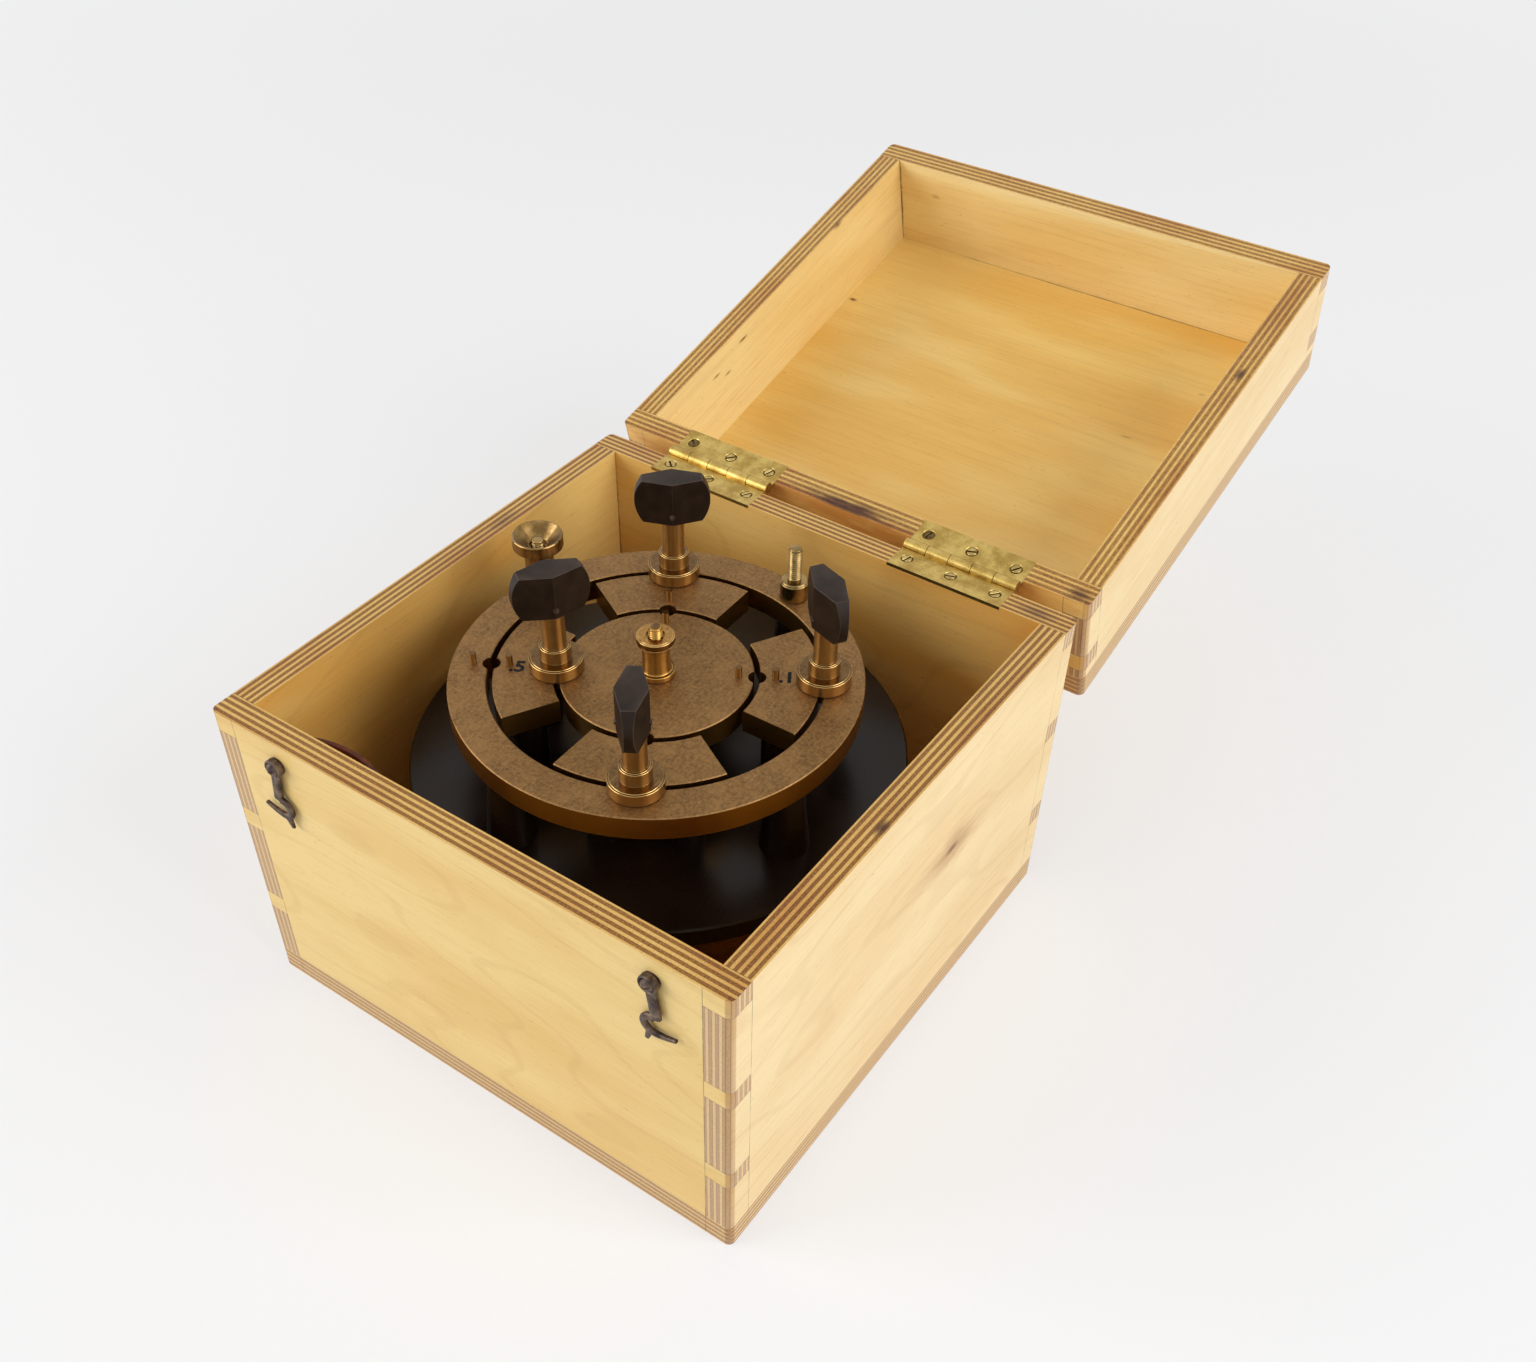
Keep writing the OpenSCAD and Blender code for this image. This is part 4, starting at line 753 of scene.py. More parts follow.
def hook_parts():
    """The hook in its own plane, x to the tail's side and y up, from its pivot, with z out of the wall.
    The middle of the bend's curve is an eighth of its ends' sum and three quarters of its bulge."""
    half_t = HOOK_T / 2
    shank_end = np.array(SHANK_END)
    lip_end = shank_end + LIP * (shank_end / np.linalg.norm(shank_end))
    shank = straight_bar((0, 0), lip_end, (SHANK_W / 2, SHANK_W / 2), (half_t, half_t), SHANK_STEPS)
    bend_x = SHANK_END[0] - SHANK_W / 2
    bend_y = SHANK_END[1] - BAR_W / 2
    bulge = (-BEND_OUT - (bend_x + HEEL_X) / 8) / 0.75
    tip = np.array([TAIL_L - TIP_W / 2, TAIL_Z + TAIL_RISE])
    third = (tip[0] - HEEL_X) / 3
    bend = cubic([(bend_x + BEND_IN, bend_y), (bulge, bend_y), (bulge, TAIL_Z), (HEEL_X, TAIL_Z)],
                 BEND_STEPS)
    tail = cubic([(HEEL_X, TAIL_Z), (HEEL_X + third, TAIL_Z), (tip[0] - third, tip[1] - TAIL_RISE / 2), tip],
                 TAIL_STEPS)
    middle = np.concatenate([bend[0], tail[0][1:]])
    left = np.concatenate([bend[1], tail[1][1:]])
    wide = np.concatenate([np.linspace(BAR_W, TAIL_W, BEND_STEPS),
                           np.linspace(TAIL_W, TIP_W, TAIL_STEPS)[1:]]) / 2
    thick = np.concatenate([np.full(BEND_STEPS, half_t),
                            np.linspace(half_t, TIP_SHARE * half_t, TAIL_STEPS)[1:]])
    curl = flat_bar(middle, left, wide, thick)
    spur = straight_bar((SPUR_X, TAIL_Z), SPUR_TIP, SPUR_HALF_W, (half_t, SPUR_TIP_T), SPUR_STEPS)
    rim_z = half_t + EYE_RIM
    profile = np.array([(EYE_BORE, -half_t), (EYE_R, -half_t), (EYE_R, half_t + EYE_BREAK[1]),
                        (EYE_R - EYE_BREAK[0], rim_z), (CUP_R[0], rim_z), (CUP_R[1], half_t),
                        (EYE_BORE, half_t)])
    eye = turned(profile, Vector((0, 0, 0)), 48)
    return [skin(shank), skin(curl), skin(spur), skin(eye, ring=True)]


def mottled(name, patch_mm, stops, polish, grain, sockets, rubbed_and_highlit=None):
    """A surface with cloudy patches of one size. They pick its colour from the stops and its roughness
    from the polish, which gives a ramp's ends. The grain has a size, a depth and a strength. Edges that
    the piece marks take another colour, for their wear and a painted highlight."""
    material, tree, place = new_material(name)
    patches = noise(place, patch_mm, 4.0)
    colour = add(tree, "ValToRGB", {0: patches}, stops=stops)[0]
    if rubbed_and_highlit:
        worn = add(tree, "Attribute", attribute_name="worn_and_highlit_edge")["Fac"]
        colour = mix(calc("MULTIPLY", worn, patches), colour, rubbed_and_highlit)
    grain_mm, deep_mm, strength = grain
    return shade(material, {
        "Base Color": colour, "Roughness": ramp(patches, *polish, "LINEAR"),
        "Normal": bump(noise(place, grain_mm), deep_mm, strength), **sockets,
    })


# Satin, nearly black in the pits and lighter where fingers rub it
bronze = mottled("browned_bronze", 3.5, ((0.3, BRONZE_DARK), (0.72, BRONZE_WORN), (0.5, BRONZE)),
                 (0.0, 1.0, 0.34, 0.6), (0.5, 0.08, 0.3), {"Metallic": 0.7})
for side, hand in (("left", -1), ("right", 1)):
    node = "hook_" + side
    pivot = next(j for j in frame["joints"] if j["child"] == node)["pos_m"]
    low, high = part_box(node)
    on_wall = Matrix.Translation(Vector((pivot[0], (low.y + high.y) / 2, pivot[2])))
    upright = Matrix.Rotation(math.radians(90), 4, "X") @ Matrix.Diagonal((hand, 1, 1, 1))
    hook = piece("forged_" + node, placed(hook_parts(), on_wall @ upright), bronze)
    melt = hook.modifiers.new("forged_together", "REMESH")
    melt.mode = "VOXEL"
    melt.voxel_size = VOXEL * MM
    melt.use_smooth_shade = True
    soften = hook.modifiers.new("hammered_round", "SMOOTH")
    soften.factor = 0.5
    soften.iterations = 4
    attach(hook, node)
    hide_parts(node)
dress(bronze, "hook_washers", "hook_screws", "catch_studs")

# The leather strap
# A strip of reddish-brown hide, tacked at both ends to the inside of the front wall so that it bows out.
# Its edges are burnished round and its face is creased a little at the bow.
HIDE = "#5e2b19"
HIDE_LIGHT = "#84462b"
HIDE_DARK = "#2d140d"
STRAP_FOOT = 7.5
STRAP_T = 2.2
STRAP_EDGE = 0.7
CREASES = (10 / 7, 10 / 7, 50 / 3)


def hide():
    """Vegetable-tanned leather: fine pebbled grain, creases across the bow, darker in patches."""
    material, tree, place = new_material("tanned_hide")
    pebbles = add(tree, "TexVoronoi", {"Vector": place, "Scale": 1 / (0.9 * MM)})[0]
    tone = add(tree, "ValToRGB", {0: noise(place, 7, 4.0)},
               stops=((0.3, HIDE_DARK), (0.75, HIDE_LIGHT), (0.52, HIDE)))
    return shade(material, {
        "Base Color": tone[0], "Roughness": 0.55, "Specular IOR Level": 0.25,
        "Normal": bump(calc("ADD", pebbles, noise(place, CREASES)), 0.15, 0.35),
    })


def strap_skin():
    """A rounded rectangle, upright, carried along the strap's line: a flat foot, a bow that is a parabola,
    9.8 (1 - (x / 30) ** 2) millimetres high, and a flat foot, with the corners between them eased."""
    low, high = (np.array(v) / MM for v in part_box("leather_strap"))
    middle_x = (low[0] + high[0]) / 2
    half = (high[0] - low[0]) / 2
    span = half - STRAP_FOOT - STRAP_T / 2
    x = np.linspace(-half, half, 121)
    bow = (high[1] - low[1] - STRAP_T) * np.clip(1 - (x / span) ** 2, 0, None)
    softened = np.convolve(np.pad(bow, 4, mode="edge"), np.ones(9) / 9, mode="valid")
    line = np.stack([x, softened + STRAP_T / 2], axis=1)
    run = np.gradient(line, axis=0)
    run /= np.linalg.norm(run, axis=1, keepdims=True)
    left = np.stack([-run[:, 1], run[:, 0]], axis=1)
    corner = np.linspace(0, math.pi / 2, 5)
    half_t, half_h = STRAP_T / 2, (high[2] - low[2]) / 2
    a = np.concatenate([s * (half_t - STRAP_EDGE) + STRAP_EDGE * np.cos(corner + q * math.pi / 2)
                        for q, s in enumerate((1, -1, -1, 1))])
    b = np.concatenate([s * (half_h - STRAP_EDGE) + STRAP_EDGE * np.sin(corner + q * math.pi / 2)
                        for q, s in enumerate((1, 1, -1, -1))])
    flat = line[:, None, :] + left[:, None, :] * a[None, :, None]
    points = np.stack([flat[..., 0] + middle_x, flat[..., 1] + low[1],
                       np.broadcast_to(b + (low[2] + high[2]) / 2, flat.shape[:2])], axis=-1)
    return skin(points[:, ::-1])


strap = piece("hide_strap", [strap_skin()], hide(), smooth=60)
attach(strap, "box")
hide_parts("leather_strap")

# The round case and what is in it
# A drum of sheet brass with a ring soldered into each end and a brass base screwed on. Inside, four
# stacks of mica and foil are clamped between brass plates and joined to the blocks by rods. The top hides
# it all.
CASE_DIRT = "#3a2b14"
MICA_WAVE = 61.6725
case_brass = brass("sheet_case_brass", "#a9833f", "#7d5e2c", CASE_DIRT, 20, 0.3, 2, (0.3, 0.5))
rod_brass = brass("drawn_rod_brass", "#b5954c", "#856a32", CASE_DIRT, 6, 0.2, 2, (0.25, 0.42))
dress(case_brass, "case_base", "case_drum", "case_flanges", "stack_clamps")
dress(rod_brass, "case_screws", "stack_bolts", "leads", "pillar_bolts")

mica, tree, place = new_material("waxed_mica_stack")
leaves = add(tree, "TexWave", {"Vector": place, "Scale": MICA_WAVE, "Distortion": 0.6, "Detail": 1.0},
             bands_direction="Z")
silver = add(tree, "ValToRGB", {0: leaves[0]},
             stops=((0.2, "#8f7d5c"), (0.9, "#d8c69d"), (0.55, "#b7a37b")))
shade(mica, {"Base Color": silver[0], "Roughness": 0.35, "IOR": 1.58})
dress(mica, "mica_stacks")

# The ebonite top and pillars
# A disc of black hard rubber, turned and polished, with turned pillars of the same stuff standing on it.
# Age has browned it slightly, and the polish is faintly smeared.
EBONITE = "#1c120b"
EBONITE_BROWN = "#271910"
plate_ebonite = mottled("polished_ebonite", 40, ((0.35, EBONITE), (0.7, EBONITE_BROWN)),
                        (0.3, 0.7, 0.2, 0.34), (0.5, 0.05, 0.06), {"Specular IOR Level": 0.22})
dress(plate_ebonite, "case_top", "ring_pillars", "segment_pillars", "disc_pillar")

# The contact blocks
# A ring, four segments and a disc, turned and milled from cast brass and lacquered. The lacquer has worn
# off the tops, which are dull brown and mottled, and it has stayed amber on the sides. Short brass pins
# stand beside every plug hole, and plain numbers are painted on two of the segments.
TOP_TONES = ("#a07a4c", "#5f452b")
TOP_SPOT = "#4a361f"
HAIRLINE = "#b39764"
SIDE_TONES = ("#bc8b40", "#966e2f")
TURNED_SIDES = ("#b98e50", "#8a6536")
TURNED_TOP = ("#7d5f3c", "#4d3823")
TURNED_GLOSS = (0.16, 0.28)
# How far up a surface faces, from 0 to 1, where a polished end begins and where an eased edge lies
POLISHED = (0.93, 0.99)
EDGE = (0.2, 0.4)
EDGE_ROUGH = 0.16
# A painted highlight on the eased edges of turned brass, where the polish is also smoother
EDGE_HIGHLIGHT = "#c4a064"
# Sizes in millimetres of mottling, specks, worn patches, hairlines and turning lines, and depths of pits
MOTTLE = 1.3
SPECK = 0.4
WORN_PATCH = 11
HAIR = (0.25, 16, 16)
HAIR_ANGLES = (0.4, 1.3, 2.2)
TURNING_LINE = (50, 50, 0.2)
CAST_PIT = 0.006
TURNED_PIT = 0.001


def lacquered_brass(name, side_tones, side_rough, cut_mm, top_tones=TOP_TONES, top_rough=(0.42, 0.62),
                    flat=(0.2, 0.6), spread=0, edge_highlight=None):
    """Old lacquered brass. Where the surface faces up it is dull, with mottling, worn patches, specks and
    crossed hairlines. Where it faces sideways it is amber, with fine turning lines of the given depth,
    and a spread draws its highlights up and down. An edge highlight is a painted highlight on the eased
    edges, which are also smoother, as polished brass."""
    material, tree, place = new_material(name)
    facing = add(tree, "SeparateXYZ", {0: add(tree, "TexCoord")["Normal"]})[2]
    upward = ramp(facing, *flat, line="LINEAR")
    mottle = noise(place, MOTTLE, 6.0, 0.7)
    specks = noise(place, SPECK, 3.0)
    wear = noise(place, WORN_PATCH, 5.0, 0.65)
    scratches = 0.0
    for angle in HAIR_ANGLES:
        slanting = add(tree, "Mapping", {"Vector": place, "Rotation": (0, 0, angle),
                                         "Scale": [1 / (s * MM) for s in HAIR]})
        strands = add(tree, "TexNoise", {"Vector": slanting[0], "Scale": 1.0, "Detail": 1.0})
        scratches = calc("MAXIMUM", scratches, ramp(strands[0], 0.66, 0.74))
    top = mix(ramp(mottle, 0.3, 0.7, line="LINEAR"), top_tones[1], top_tones[0])
    top = mix(ramp(wear, 0.42, 0.7, 0.0, 0.5), top, top_tones[0])
    top = mix(ramp(specks, 0.55, 0.72, 0.0, 0.45), top, TOP_SPOT)
    top = mix(calc("MULTIPLY", scratches, 0.35), top, HAIRLINE)
    side, side_gloss = mix(wear, *side_tones), side_rough
    if edge_highlight:
        edge = ramp(facing, *EDGE, line="LINEAR")
        side = mix(edge, side, edge_highlight)
        side_gloss = between(edge, side_rough, EDGE_ROUGH)
    top_gloss = ramp(mottle, 0.0, 1.0, *top_rough, "LINEAR")
    pit = (TURNED_PIT if spread else CAST_PIT) / cut_mm
    pits = ramp(specks, 0.0, 1.0, -pit, pit, "LINEAR")
    cuts = ramp(noise(place, TURNING_LINE), 0.0, 1.0, -0.5, 0.5, "LINEAR")
    sheen = lathe_spread(tree, spread, EDGE) if spread else {}
    return shade(material, {
        "Base Color": mix(upward, side, top), "Metallic": 1.0,
        "Roughness": between(upward, side_gloss, top_gloss),
        "Normal": bump(between(upward, cuts, pits), cut_mm), **sheen,
    })


block_brass = lacquered_brass("lacquered_block_brass", SIDE_TONES, 0.3, 0.02)
dress(block_brass, "contact_ring", "contact_disc", "segment_right", "segment_back", "segment_left",
      "segment_front")
# The plugs' and pins' eased edges carry a painted highlight
turned_brass = lacquered_brass("lacquered_turned_brass", TURNED_SIDES, 0.28, 0.006, TURNED_TOP, TURNED_GLOSS,
                               POLISHED, 0.95, EDGE_HIGHLIGHT)
dress(turned_brass, "locating_pins")


def middle_of(name, z):
    """The middle of a CAD node in plan, at a given height."""
    low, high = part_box(name)
    return Vector(((low.x + high.x) / 2, (low.y + high.y) / 2, z))


contact_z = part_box("contact_disc")[1].z
instrument_axis = middle_of("contact_disc", 0)
plug_axes = {side: middle_of("plug_" + side, contact_z) for side in ("right", "back", "left", "front")}
reading = (plug_axes["right"] - instrument_axis).xy.normalized()
reading_turn = math.atan2(reading.y, reading.x)

NUMBER_SIZE = 9.24
NUMBER_THICK = 0.04
NUMBER_BOLD = 0.3
NUMBERS = (("left", ".5", (-48.8, -31.6)), ("right", ".1", (44.2, 26.7)))
number_paint, tree, place = new_material("worn_black_paint")
worn = add(tree, "ValToRGB", {0: noise(place, 1.2, 4.0)}, stops=((0.5, "#14161a"), (0.78, "#44392a")))
shade(number_paint, {"Base Color": worn[0], "Roughness": 0.6, "Specular IOR Level": 0.15})
for side, figure, at in NUMBERS:
    letters = bpy.data.curves.new("number", "FONT")
    letters.body = figure
    letters.size = NUMBER_SIZE * MM
    letters.align_x = "CENTER"
    letters.align_y = "CENTER"
    letters.extrude = NUMBER_THICK / 2 * MM
    letters.offset = NUMBER_BOLD * MM
    holder = bpy.data.objects.new("number", letters)
    bpy.context.scene.collection.objects.link(holder)
    bpy.context.view_layer.update()
    shaped = holder.evaluated_get(bpy.context.evaluated_depsgraph_get())
    mesh = bpy.data.meshes.new_from_object(shaped)
    bpy.data.objects.remove(holder)
    number_place = Vector((at[0] * MM, at[1] * MM, contact_z + NUMBER_THICK / 2 * MM))
    mesh.transform(Matrix.Translation(number_place) @ Matrix.Rotation(reading_turn, 4, "Z"))
    mesh.materials.clear()
    mesh.materials.append(number_paint)
    number = bpy.data.objects.new("painted_number_" + side, mesh)
    bpy.context.scene.collection.objects.link(number)
    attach(number, "instrument")

# The terminals
# Two turned brass posts with threaded studs screwed into the ring, one bare and one with a dished thumb
# nut, and a post in the middle of the disc with a flat cap nut.
POST_R = 6.2
POST_H = 9.0
SPIGOT_R, SPIGOT_L = 2.4, 4.8
STUD_R = 3.0
STUD_TOP = 25.0
STUD_COLS = 40
STUD_TIP_H, STUD_SHOULDER, STUD_FLAT = 1.0, 2.7, 0.1
PITCH = 1.0
THREAD = 0.45
MOST_EASED = 0.48
FOOT_R, FOOT_H = 7.8, 2.6
CENTRE_TOP = 15.8
CENTRE_STUD_TOP = 23.4
WAIST = 0.55


def pulled(start, corner, stop):
    """Five points along each parabola from a start to a stop, pulled towards a corner."""
    t = np.linspace(0, 1, 5)[:, None]
    start, corner, stop = (v[..., None, :] for v in (start, corner, stop))
    return (1 - t) ** 2 * start + 2 * (1 - t) * t * corner + t ** 2 * stop


def eased(corners, radius):
    """A line of (radius, height) corners with each inner corner eased, from a point one easing back along
    the line to a point one easing on."""
    c = np.array(corners, float)
    back, on = c[:-2] - c[1:-1], c[2:] - c[1:-1]
    back_l = np.linalg.norm(back, axis=1, keepdims=True)
    on_l = np.linalg.norm(on, axis=1, keepdims=True)
    reach = np.minimum(radius, np.minimum(back_l, on_l) * MOST_EASED)
    bent = pulled(c[1:-1] + back / back_l * reach, c[1:-1], c[1:-1] + on / on_l * reach)
    return np.concatenate([c[:1], bent.reshape(-1, 2), c[-1:]])


def stud_profile(low, high):
    """Rows up a stud, eight to a thread, with a rounded tip."""
    rows = np.arange(low, high - STUD_TIP_H, PITCH / 8)
    straight = np.stack([np.full(len(rows), STUD_R), rows], axis=1)
    tip = np.linspace(0, 1, 8)
    tip_r = STUD_SHOULDER - (STUD_SHOULDER - STUD_FLAT) * tip ** 3
    tip_z = high - STUD_TIP_H + STUD_TIP_H * np.sin(tip * math.pi / 2)
    return np.concatenate([straight, np.stack([tip_r, tip_z], axis=1)])


terminal_brass = brass("grey_turned_brass", "#a08455", "#7c6840", "#3c2f18", 6, 0.22, 2, (0.18, 0.32), 0.25,
                       0.012)
post_brass = lacquered_brass("lacquered_post_brass", ("#c89a50", "#8f6630"), 0.28, 0.006, TURNED_TOP,
                             TURNED_GLOSS, POLISHED, 0.95)
# The cap nut's eased edges carry a painted highlight
nut_brass = lacquered_brass("lacquered_nut_brass", ("#9a7842", "#6b5228"), 0.24, 0.006,
                            ("#bd8f50", "#7f5c2e"), (0.18, 0.3), POLISHED, 0.6, EDGE_HIGHLIGHT)
dish_brass = brass("polished_dish_brass", "#a88654", "#765c34", "#382b16", 8, 0.22, 2, (0.2, 0.28), 0.3,
                   0.006, 0.9)
left_terminal = middle_of("dish_nut", contact_z)
spoke = left_terminal - instrument_axis
right_terminal = Vector((instrument_axis.x + spoke.y, instrument_axis.y - spoke.x, contact_z))
post = eased([(SPIGOT_R, -SPIGOT_L), (SPIGOT_R, 0), (POST_R - 0.3, 0.0), (POST_R, 0.5),
              (POST_R, POST_H - 1.2), (POST_R - 0.4, POST_H - 0.9), (POST_R - 0.4, POST_H - 0.6),
              (POST_R - 0.9, POST_H), (STUD_R, POST_H)], 0.3)
ring_stud = stud_profile(POST_H - 0.5, STUD_TOP)
ring_thread = (POST_H + 0.8, STUD_TOP - STUD_TIP_H, PITCH, THREAD)
ring_parts = []
for axis in (left_terminal, right_terminal):
    ring_parts.append(skin(turned(post, axis)))
    ring_parts.append(skin(turned(ring_stud, axis, STUD_COLS, ring_thread)))

centre_axis = Vector((instrument_axis.x, instrument_axis.y, contact_z))
centre = eased([(SPIGOT_R, -SPIGOT_L), (SPIGOT_R, 0), (FOOT_R - 0.3, 0), (FOOT_R, 0.4),
                (FOOT_R, FOOT_H - 0.25), (FOOT_R - 0.25, FOOT_H), (POST_R + 0.1, FOOT_H),
                (POST_R - 0.2, FOOT_H + 0.8), (POST_R - 0.5, CENTRE_TOP * WAIST),
                (POST_R - 0.2, CENTRE_TOP - 2.2), (POST_R, CENTRE_TOP - 1.6), (POST_R, CENTRE_TOP - 0.3),
                (POST_R - 0.4, CENTRE_TOP), (STUD_R, CENTRE_TOP)], 0.5)
centre_stud = stud_profile(CENTRE_TOP - 0.5, CENTRE_STUD_TOP)
centre_thread = (CENTRE_TOP + 0.3, CENTRE_STUD_TOP - STUD_TIP_H, PITCH, THREAD)
centre_parts = [skin(turned(centre, centre_axis)),
                skin(turned(centre_stud, centre_axis, STUD_COLS, centre_thread))]

NUT_BORE = 3.1
NUT_LIFT = 0.05
NUT_COLS = 120
COUNTERBORE = 3.9
CAP_R, CAP_T = 7.9, 3.4
DISH_R, DISH_HUB, DISH_RIM, DISH_DEPTH = 10.8, 12.4, 5.8, 5.0
MILL_DEEP = 0.2
MILL_REACH = 0.01
cap = eased([(NUT_BORE, 0.3), (NUT_BORE, 0), (CAP_R - 0.4, 0), (CAP_R, 0.4),
             (CAP_R, CAP_T - 0.35), (CAP_R - 0.2, CAP_T - 0.15), (CAP_R - 0.9, CAP_T - 0.15),
             (CAP_R - 1.0, CAP_T), (COUNTERBORE, CAP_T), (COUNTERBORE, CAP_T - 1.3),
             (NUT_BORE, CAP_T - 1.3), (NUT_BORE, 0.6)], 0.12)
dish_top = DISH_HUB + DISH_RIM
dish_floor = dish_top - DISH_DEPTH
dish = eased([(NUT_BORE, 0.3), (NUT_BORE, 0), (POST_R - 0.4, 0), (POST_R, 0.4), (POST_R, DISH_HUB - 1.2),
              (POST_R + 1.6, DISH_HUB), (DISH_R - 0.5, DISH_HUB + 0.1), (DISH_R, DISH_HUB + 0.6),
              (DISH_R, dish_top - 0.4), (DISH_R - 0.3, dish_top), (DISH_R - 0.7, dish_top),
              (COUNTERBORE + 0.3, dish_floor), (COUNTERBORE, dish_floor), (COUNTERBORE, dish_floor - 1.5),
              (NUT_BORE, dish_floor - 1.5), (NUT_BORE, 0.6)], 0.15)
cap_edge = (0.5, CAP_T - 0.5, CAP_R - MILL_REACH, MILL_DEEP)
cap_place = centre_axis + Vector((0, 0, (CENTRE_TOP + NUT_LIFT) * MM))
dish_edge = (DISH_HUB + 0.8, dish_top - 0.6, DISH_R - MILL_REACH, MILL_DEEP)
dish_place = left_terminal + Vector((0, 0, (POST_H + NUT_LIFT) * MM))
cap_parts = [skin(turned(cap, cap_place, NUT_COLS, milled=cap_edge), ring=True)]
dish_parts = [skin(turned(dish, dish_place, NUT_COLS, milled=dish_edge), ring=True)]
for node, body, parts, finish in (
    ("ring_terminals", "instrument", ring_parts, terminal_brass),
    ("centre_post", "instrument", centre_parts, post_brass),
    ("centre_nut", "centre_nut", cap_parts, nut_brass),
    ("dish_nut", "dish_nut", dish_parts, dish_brass),
):
    terminal = piece("turned_" + node, parts, finish, smooth=50)
    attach(terminal, body)
    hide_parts(node)

# The plugs
# Four brass plugs turned in one piece: a ground taper for the hole, a wide flange grooved underneath to
# clear the pins, a collar and a stem. The lacquer on their sides is amber, and the eased edges are
# smooth, with a painted highlight.
TAPER_TIP_R, TAPER_R, TAPER_L = 3.2, 3.7, 9.5
FLANGE_LIFT = 0.2
FLANGE_R = 11.2
FLANGE_TOP = 5.9
GROOVE_IN, GROOVE_OUT, GROOVE_TOP = 5.8, 9.2, 5.2
COLLAR_R = 6.5
COLLAR_TOP = 12.0
STEM_R = 4.8
HANDLE_Z = 28.7
plug_profile = eased([
    (TAPER_TIP_R, -TAPER_L), (TAPER_R, FLANGE_LIFT), (GROOVE_IN, FLANGE_LIFT), (GROOVE_IN, GROOVE_TOP),
    (GROOVE_OUT, GROOVE_TOP), (GROOVE_OUT, FLANGE_LIFT), (FLANGE_R - 0.2, FLANGE_LIFT),
    (FLANGE_R, 0.6), (FLANGE_R, FLANGE_TOP - 0.35), (FLANGE_R - 0.15, FLANGE_TOP - 0.2),
    (FLANGE_R - 0.9, FLANGE_TOP - 0.2), (FLANGE_R - 1.0, FLANGE_TOP), (COLLAR_R + 0.02, FLANGE_TOP),
    (COLLAR_R, FLANGE_TOP + 0.02), (COLLAR_R, COLLAR_TOP - 0.3), (COLLAR_R - 0.15, COLLAR_TOP - 0.15),
    (COLLAR_R - 0.8, COLLAR_TOP - 0.15), (COLLAR_R - 0.9, COLLAR_TOP), (STEM_R, COLLAR_TOP),
    (STEM_R, HANDLE_Z + 0.6),
], 0.06)
for side, axis in plug_axes.items():
    plug = piece("turned_plug_" + side, [skin(turned(plug_profile, axis, 96))], turned_brass, smooth=40)
    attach(plug, "plug_" + side)
    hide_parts("plug_" + side)

# The handles
# Grips sawn and filed from ebonite sheet: flat faces that meet at an upright ridge on each side, ends
# rounded in elevation, all edges just broken. A pin goes through each handle and the plug's stem.
HANDLE_W = 32.0
HANDLE_H = 20.0
RIDGE_T = 13.0
END_T = 3.7
BROKEN_EDGE = 0.32
GRIP = "#1e140c"
GRIP_BROWN = "#2c1e14"
GRIP_WEAR_AND_HIGHLIGHT = "#6b5a50"
# How much wear and painted highlight the six upright corners have: two at an end, a ridge, two at the other
# end, a ridge
CORNER_WEAR_AND_HIGHLIGHT = np.array([0.6, 0.6, 0.2, 0.6, 0.6, 0.2])


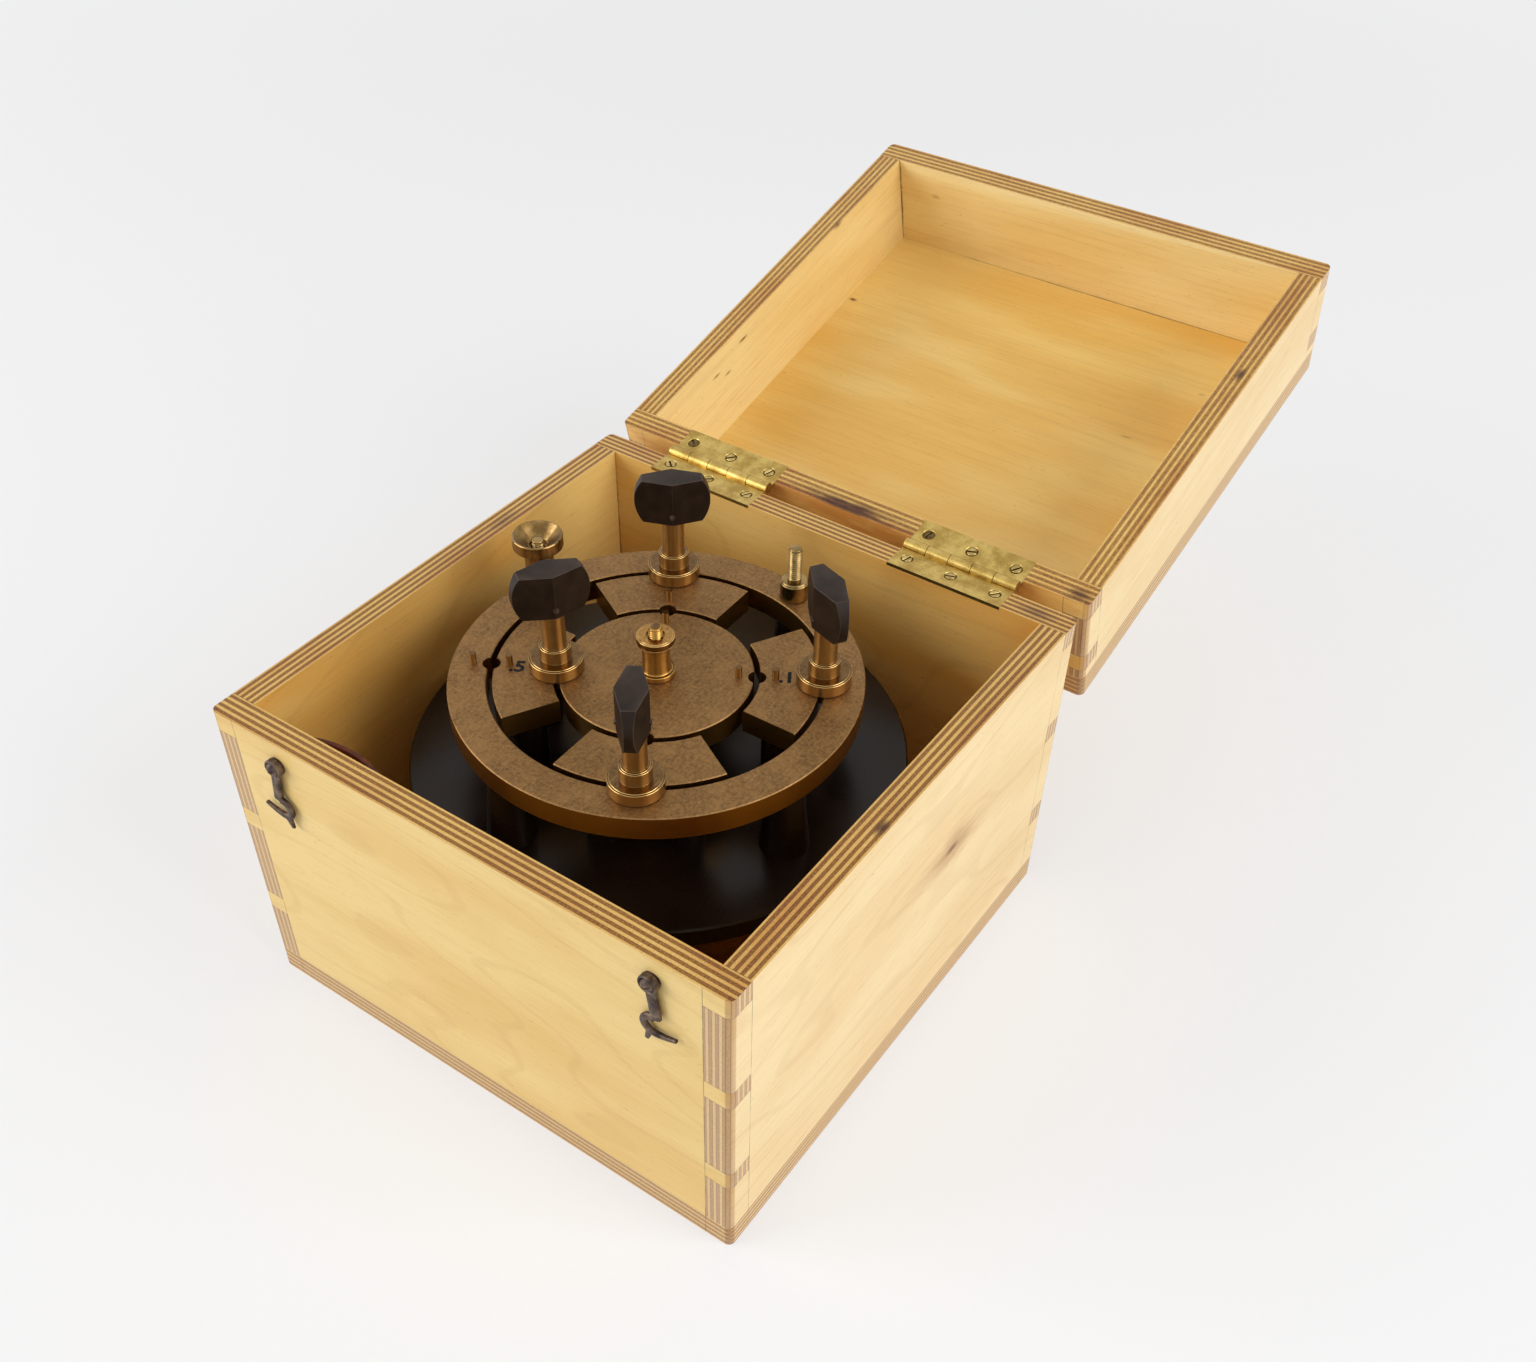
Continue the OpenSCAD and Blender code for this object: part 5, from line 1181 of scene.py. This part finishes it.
def handle_skin(axis, along):
    """Level sections of the handle, and how much wear and painted highlight each point has. A section is
    a six-sided lozenge: half a ridge thick at x = 0, thinning evenly towards the ends, and cut off where a
    circle of half the width, about the handle's middle height, ends it. The corners are eased, and the
    first and last sections shrink to break the edges."""
    half_w, half_ridge, half_end = HANDLE_W / 2, RIDGE_T / 2, END_T / 2
    bevel = np.linspace(0, math.pi / 2, 5)
    inset = BROKEN_EDGE * (1 - np.sin(bevel))
    rise = BROKEN_EDGE * (1 - np.cos(bevel))
    body = np.linspace(BROKEN_EDGE, HANDLE_H - BROKEN_EDGE, 41)[1:-1]
    z = np.concatenate([rise, body, HANDLE_H - rise[::-1]])
    shrink = np.concatenate([inset, np.zeros(len(body)), inset[::-1]])
    end_x = np.sqrt(half_w ** 2 - (z - HANDLE_H / 2) ** 2)
    end_y = half_ridge + (half_end - half_ridge) * end_x / half_w - shrink
    end_x = end_x - shrink
    ridge = half_ridge - shrink
    zero = np.zeros_like(z)
    corner_x = np.stack([end_x, end_x, zero, -end_x, -end_x, zero], axis=1)
    corner_y = np.stack([-end_y, end_y, ridge, end_y, -end_y, -ridge], axis=1)
    corners = np.stack([corner_x, corner_y], axis=-1)
    before, after = np.roll(corners, 1, axis=1) - corners, np.roll(corners, -1, axis=1) - corners
    before /= np.linalg.norm(before, axis=2, keepdims=True)
    after /= np.linalg.norm(after, axis=2, keepdims=True)
    bent = pulled(corners + before * BROKEN_EDGE, corners, corners + after * BROKEN_EDGE)
    flat = bent.reshape(len(z), -1, 2)
    across = np.array([-along[1], along[0]])
    plan = flat[..., :1] * along + flat[..., 1:] * across + np.array(axis.xy) / MM
    upright = np.broadcast_to((z + HANDLE_Z + axis.z / MM)[:, None, None], (*flat.shape[:2], 1))
    points = np.concatenate([plan, upright], axis=-1)
    round_corner = (CORNER_WEAR_AND_HIGHLIGHT[:, None] * np.sin(np.linspace(0, math.pi, 5))).reshape(-1)
    broken = np.concatenate([np.sin(2 * bevel), np.zeros(len(body)), np.sin(2 * bevel[::-1])])
    worn = np.maximum(round_corner[None, :], broken[:, None])
    return skin(points), worn.reshape(-1)


# Satin and brown-black, paler along the edges, for the wear of hands and a painted highlight
grip = mottled("filed_ebonite", 6, ((0.32, GRIP), (0.7, GRIP_BROWN)), (0.0, 1.0, 0.36, 0.52),
               (0.35, 0.05, 0.12), {"Specular IOR Level": 0.16}, GRIP_WEAR_AND_HIGHLIGHT)
for side, axis in plug_axes.items():
    plan = corners_of("handle_" + side)[:, :2]
    along = np.linalg.eigh(np.cov((plan - plan.mean(0)).T))[1][:, 1]
    shape, worn = handle_skin(axis, along)
    handle = piece("filed_handle_" + side, [shape], grip, smooth=30)
    edge = handle.data.attributes.new("worn_and_highlit_edge", "FLOAT", "POINT")
    edge.data.foreach_set("value", worn.astype(np.float32))
    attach(handle, "plug_" + side)
    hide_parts("handle_" + side)
    dress(bronze, "cross_pin_" + side)
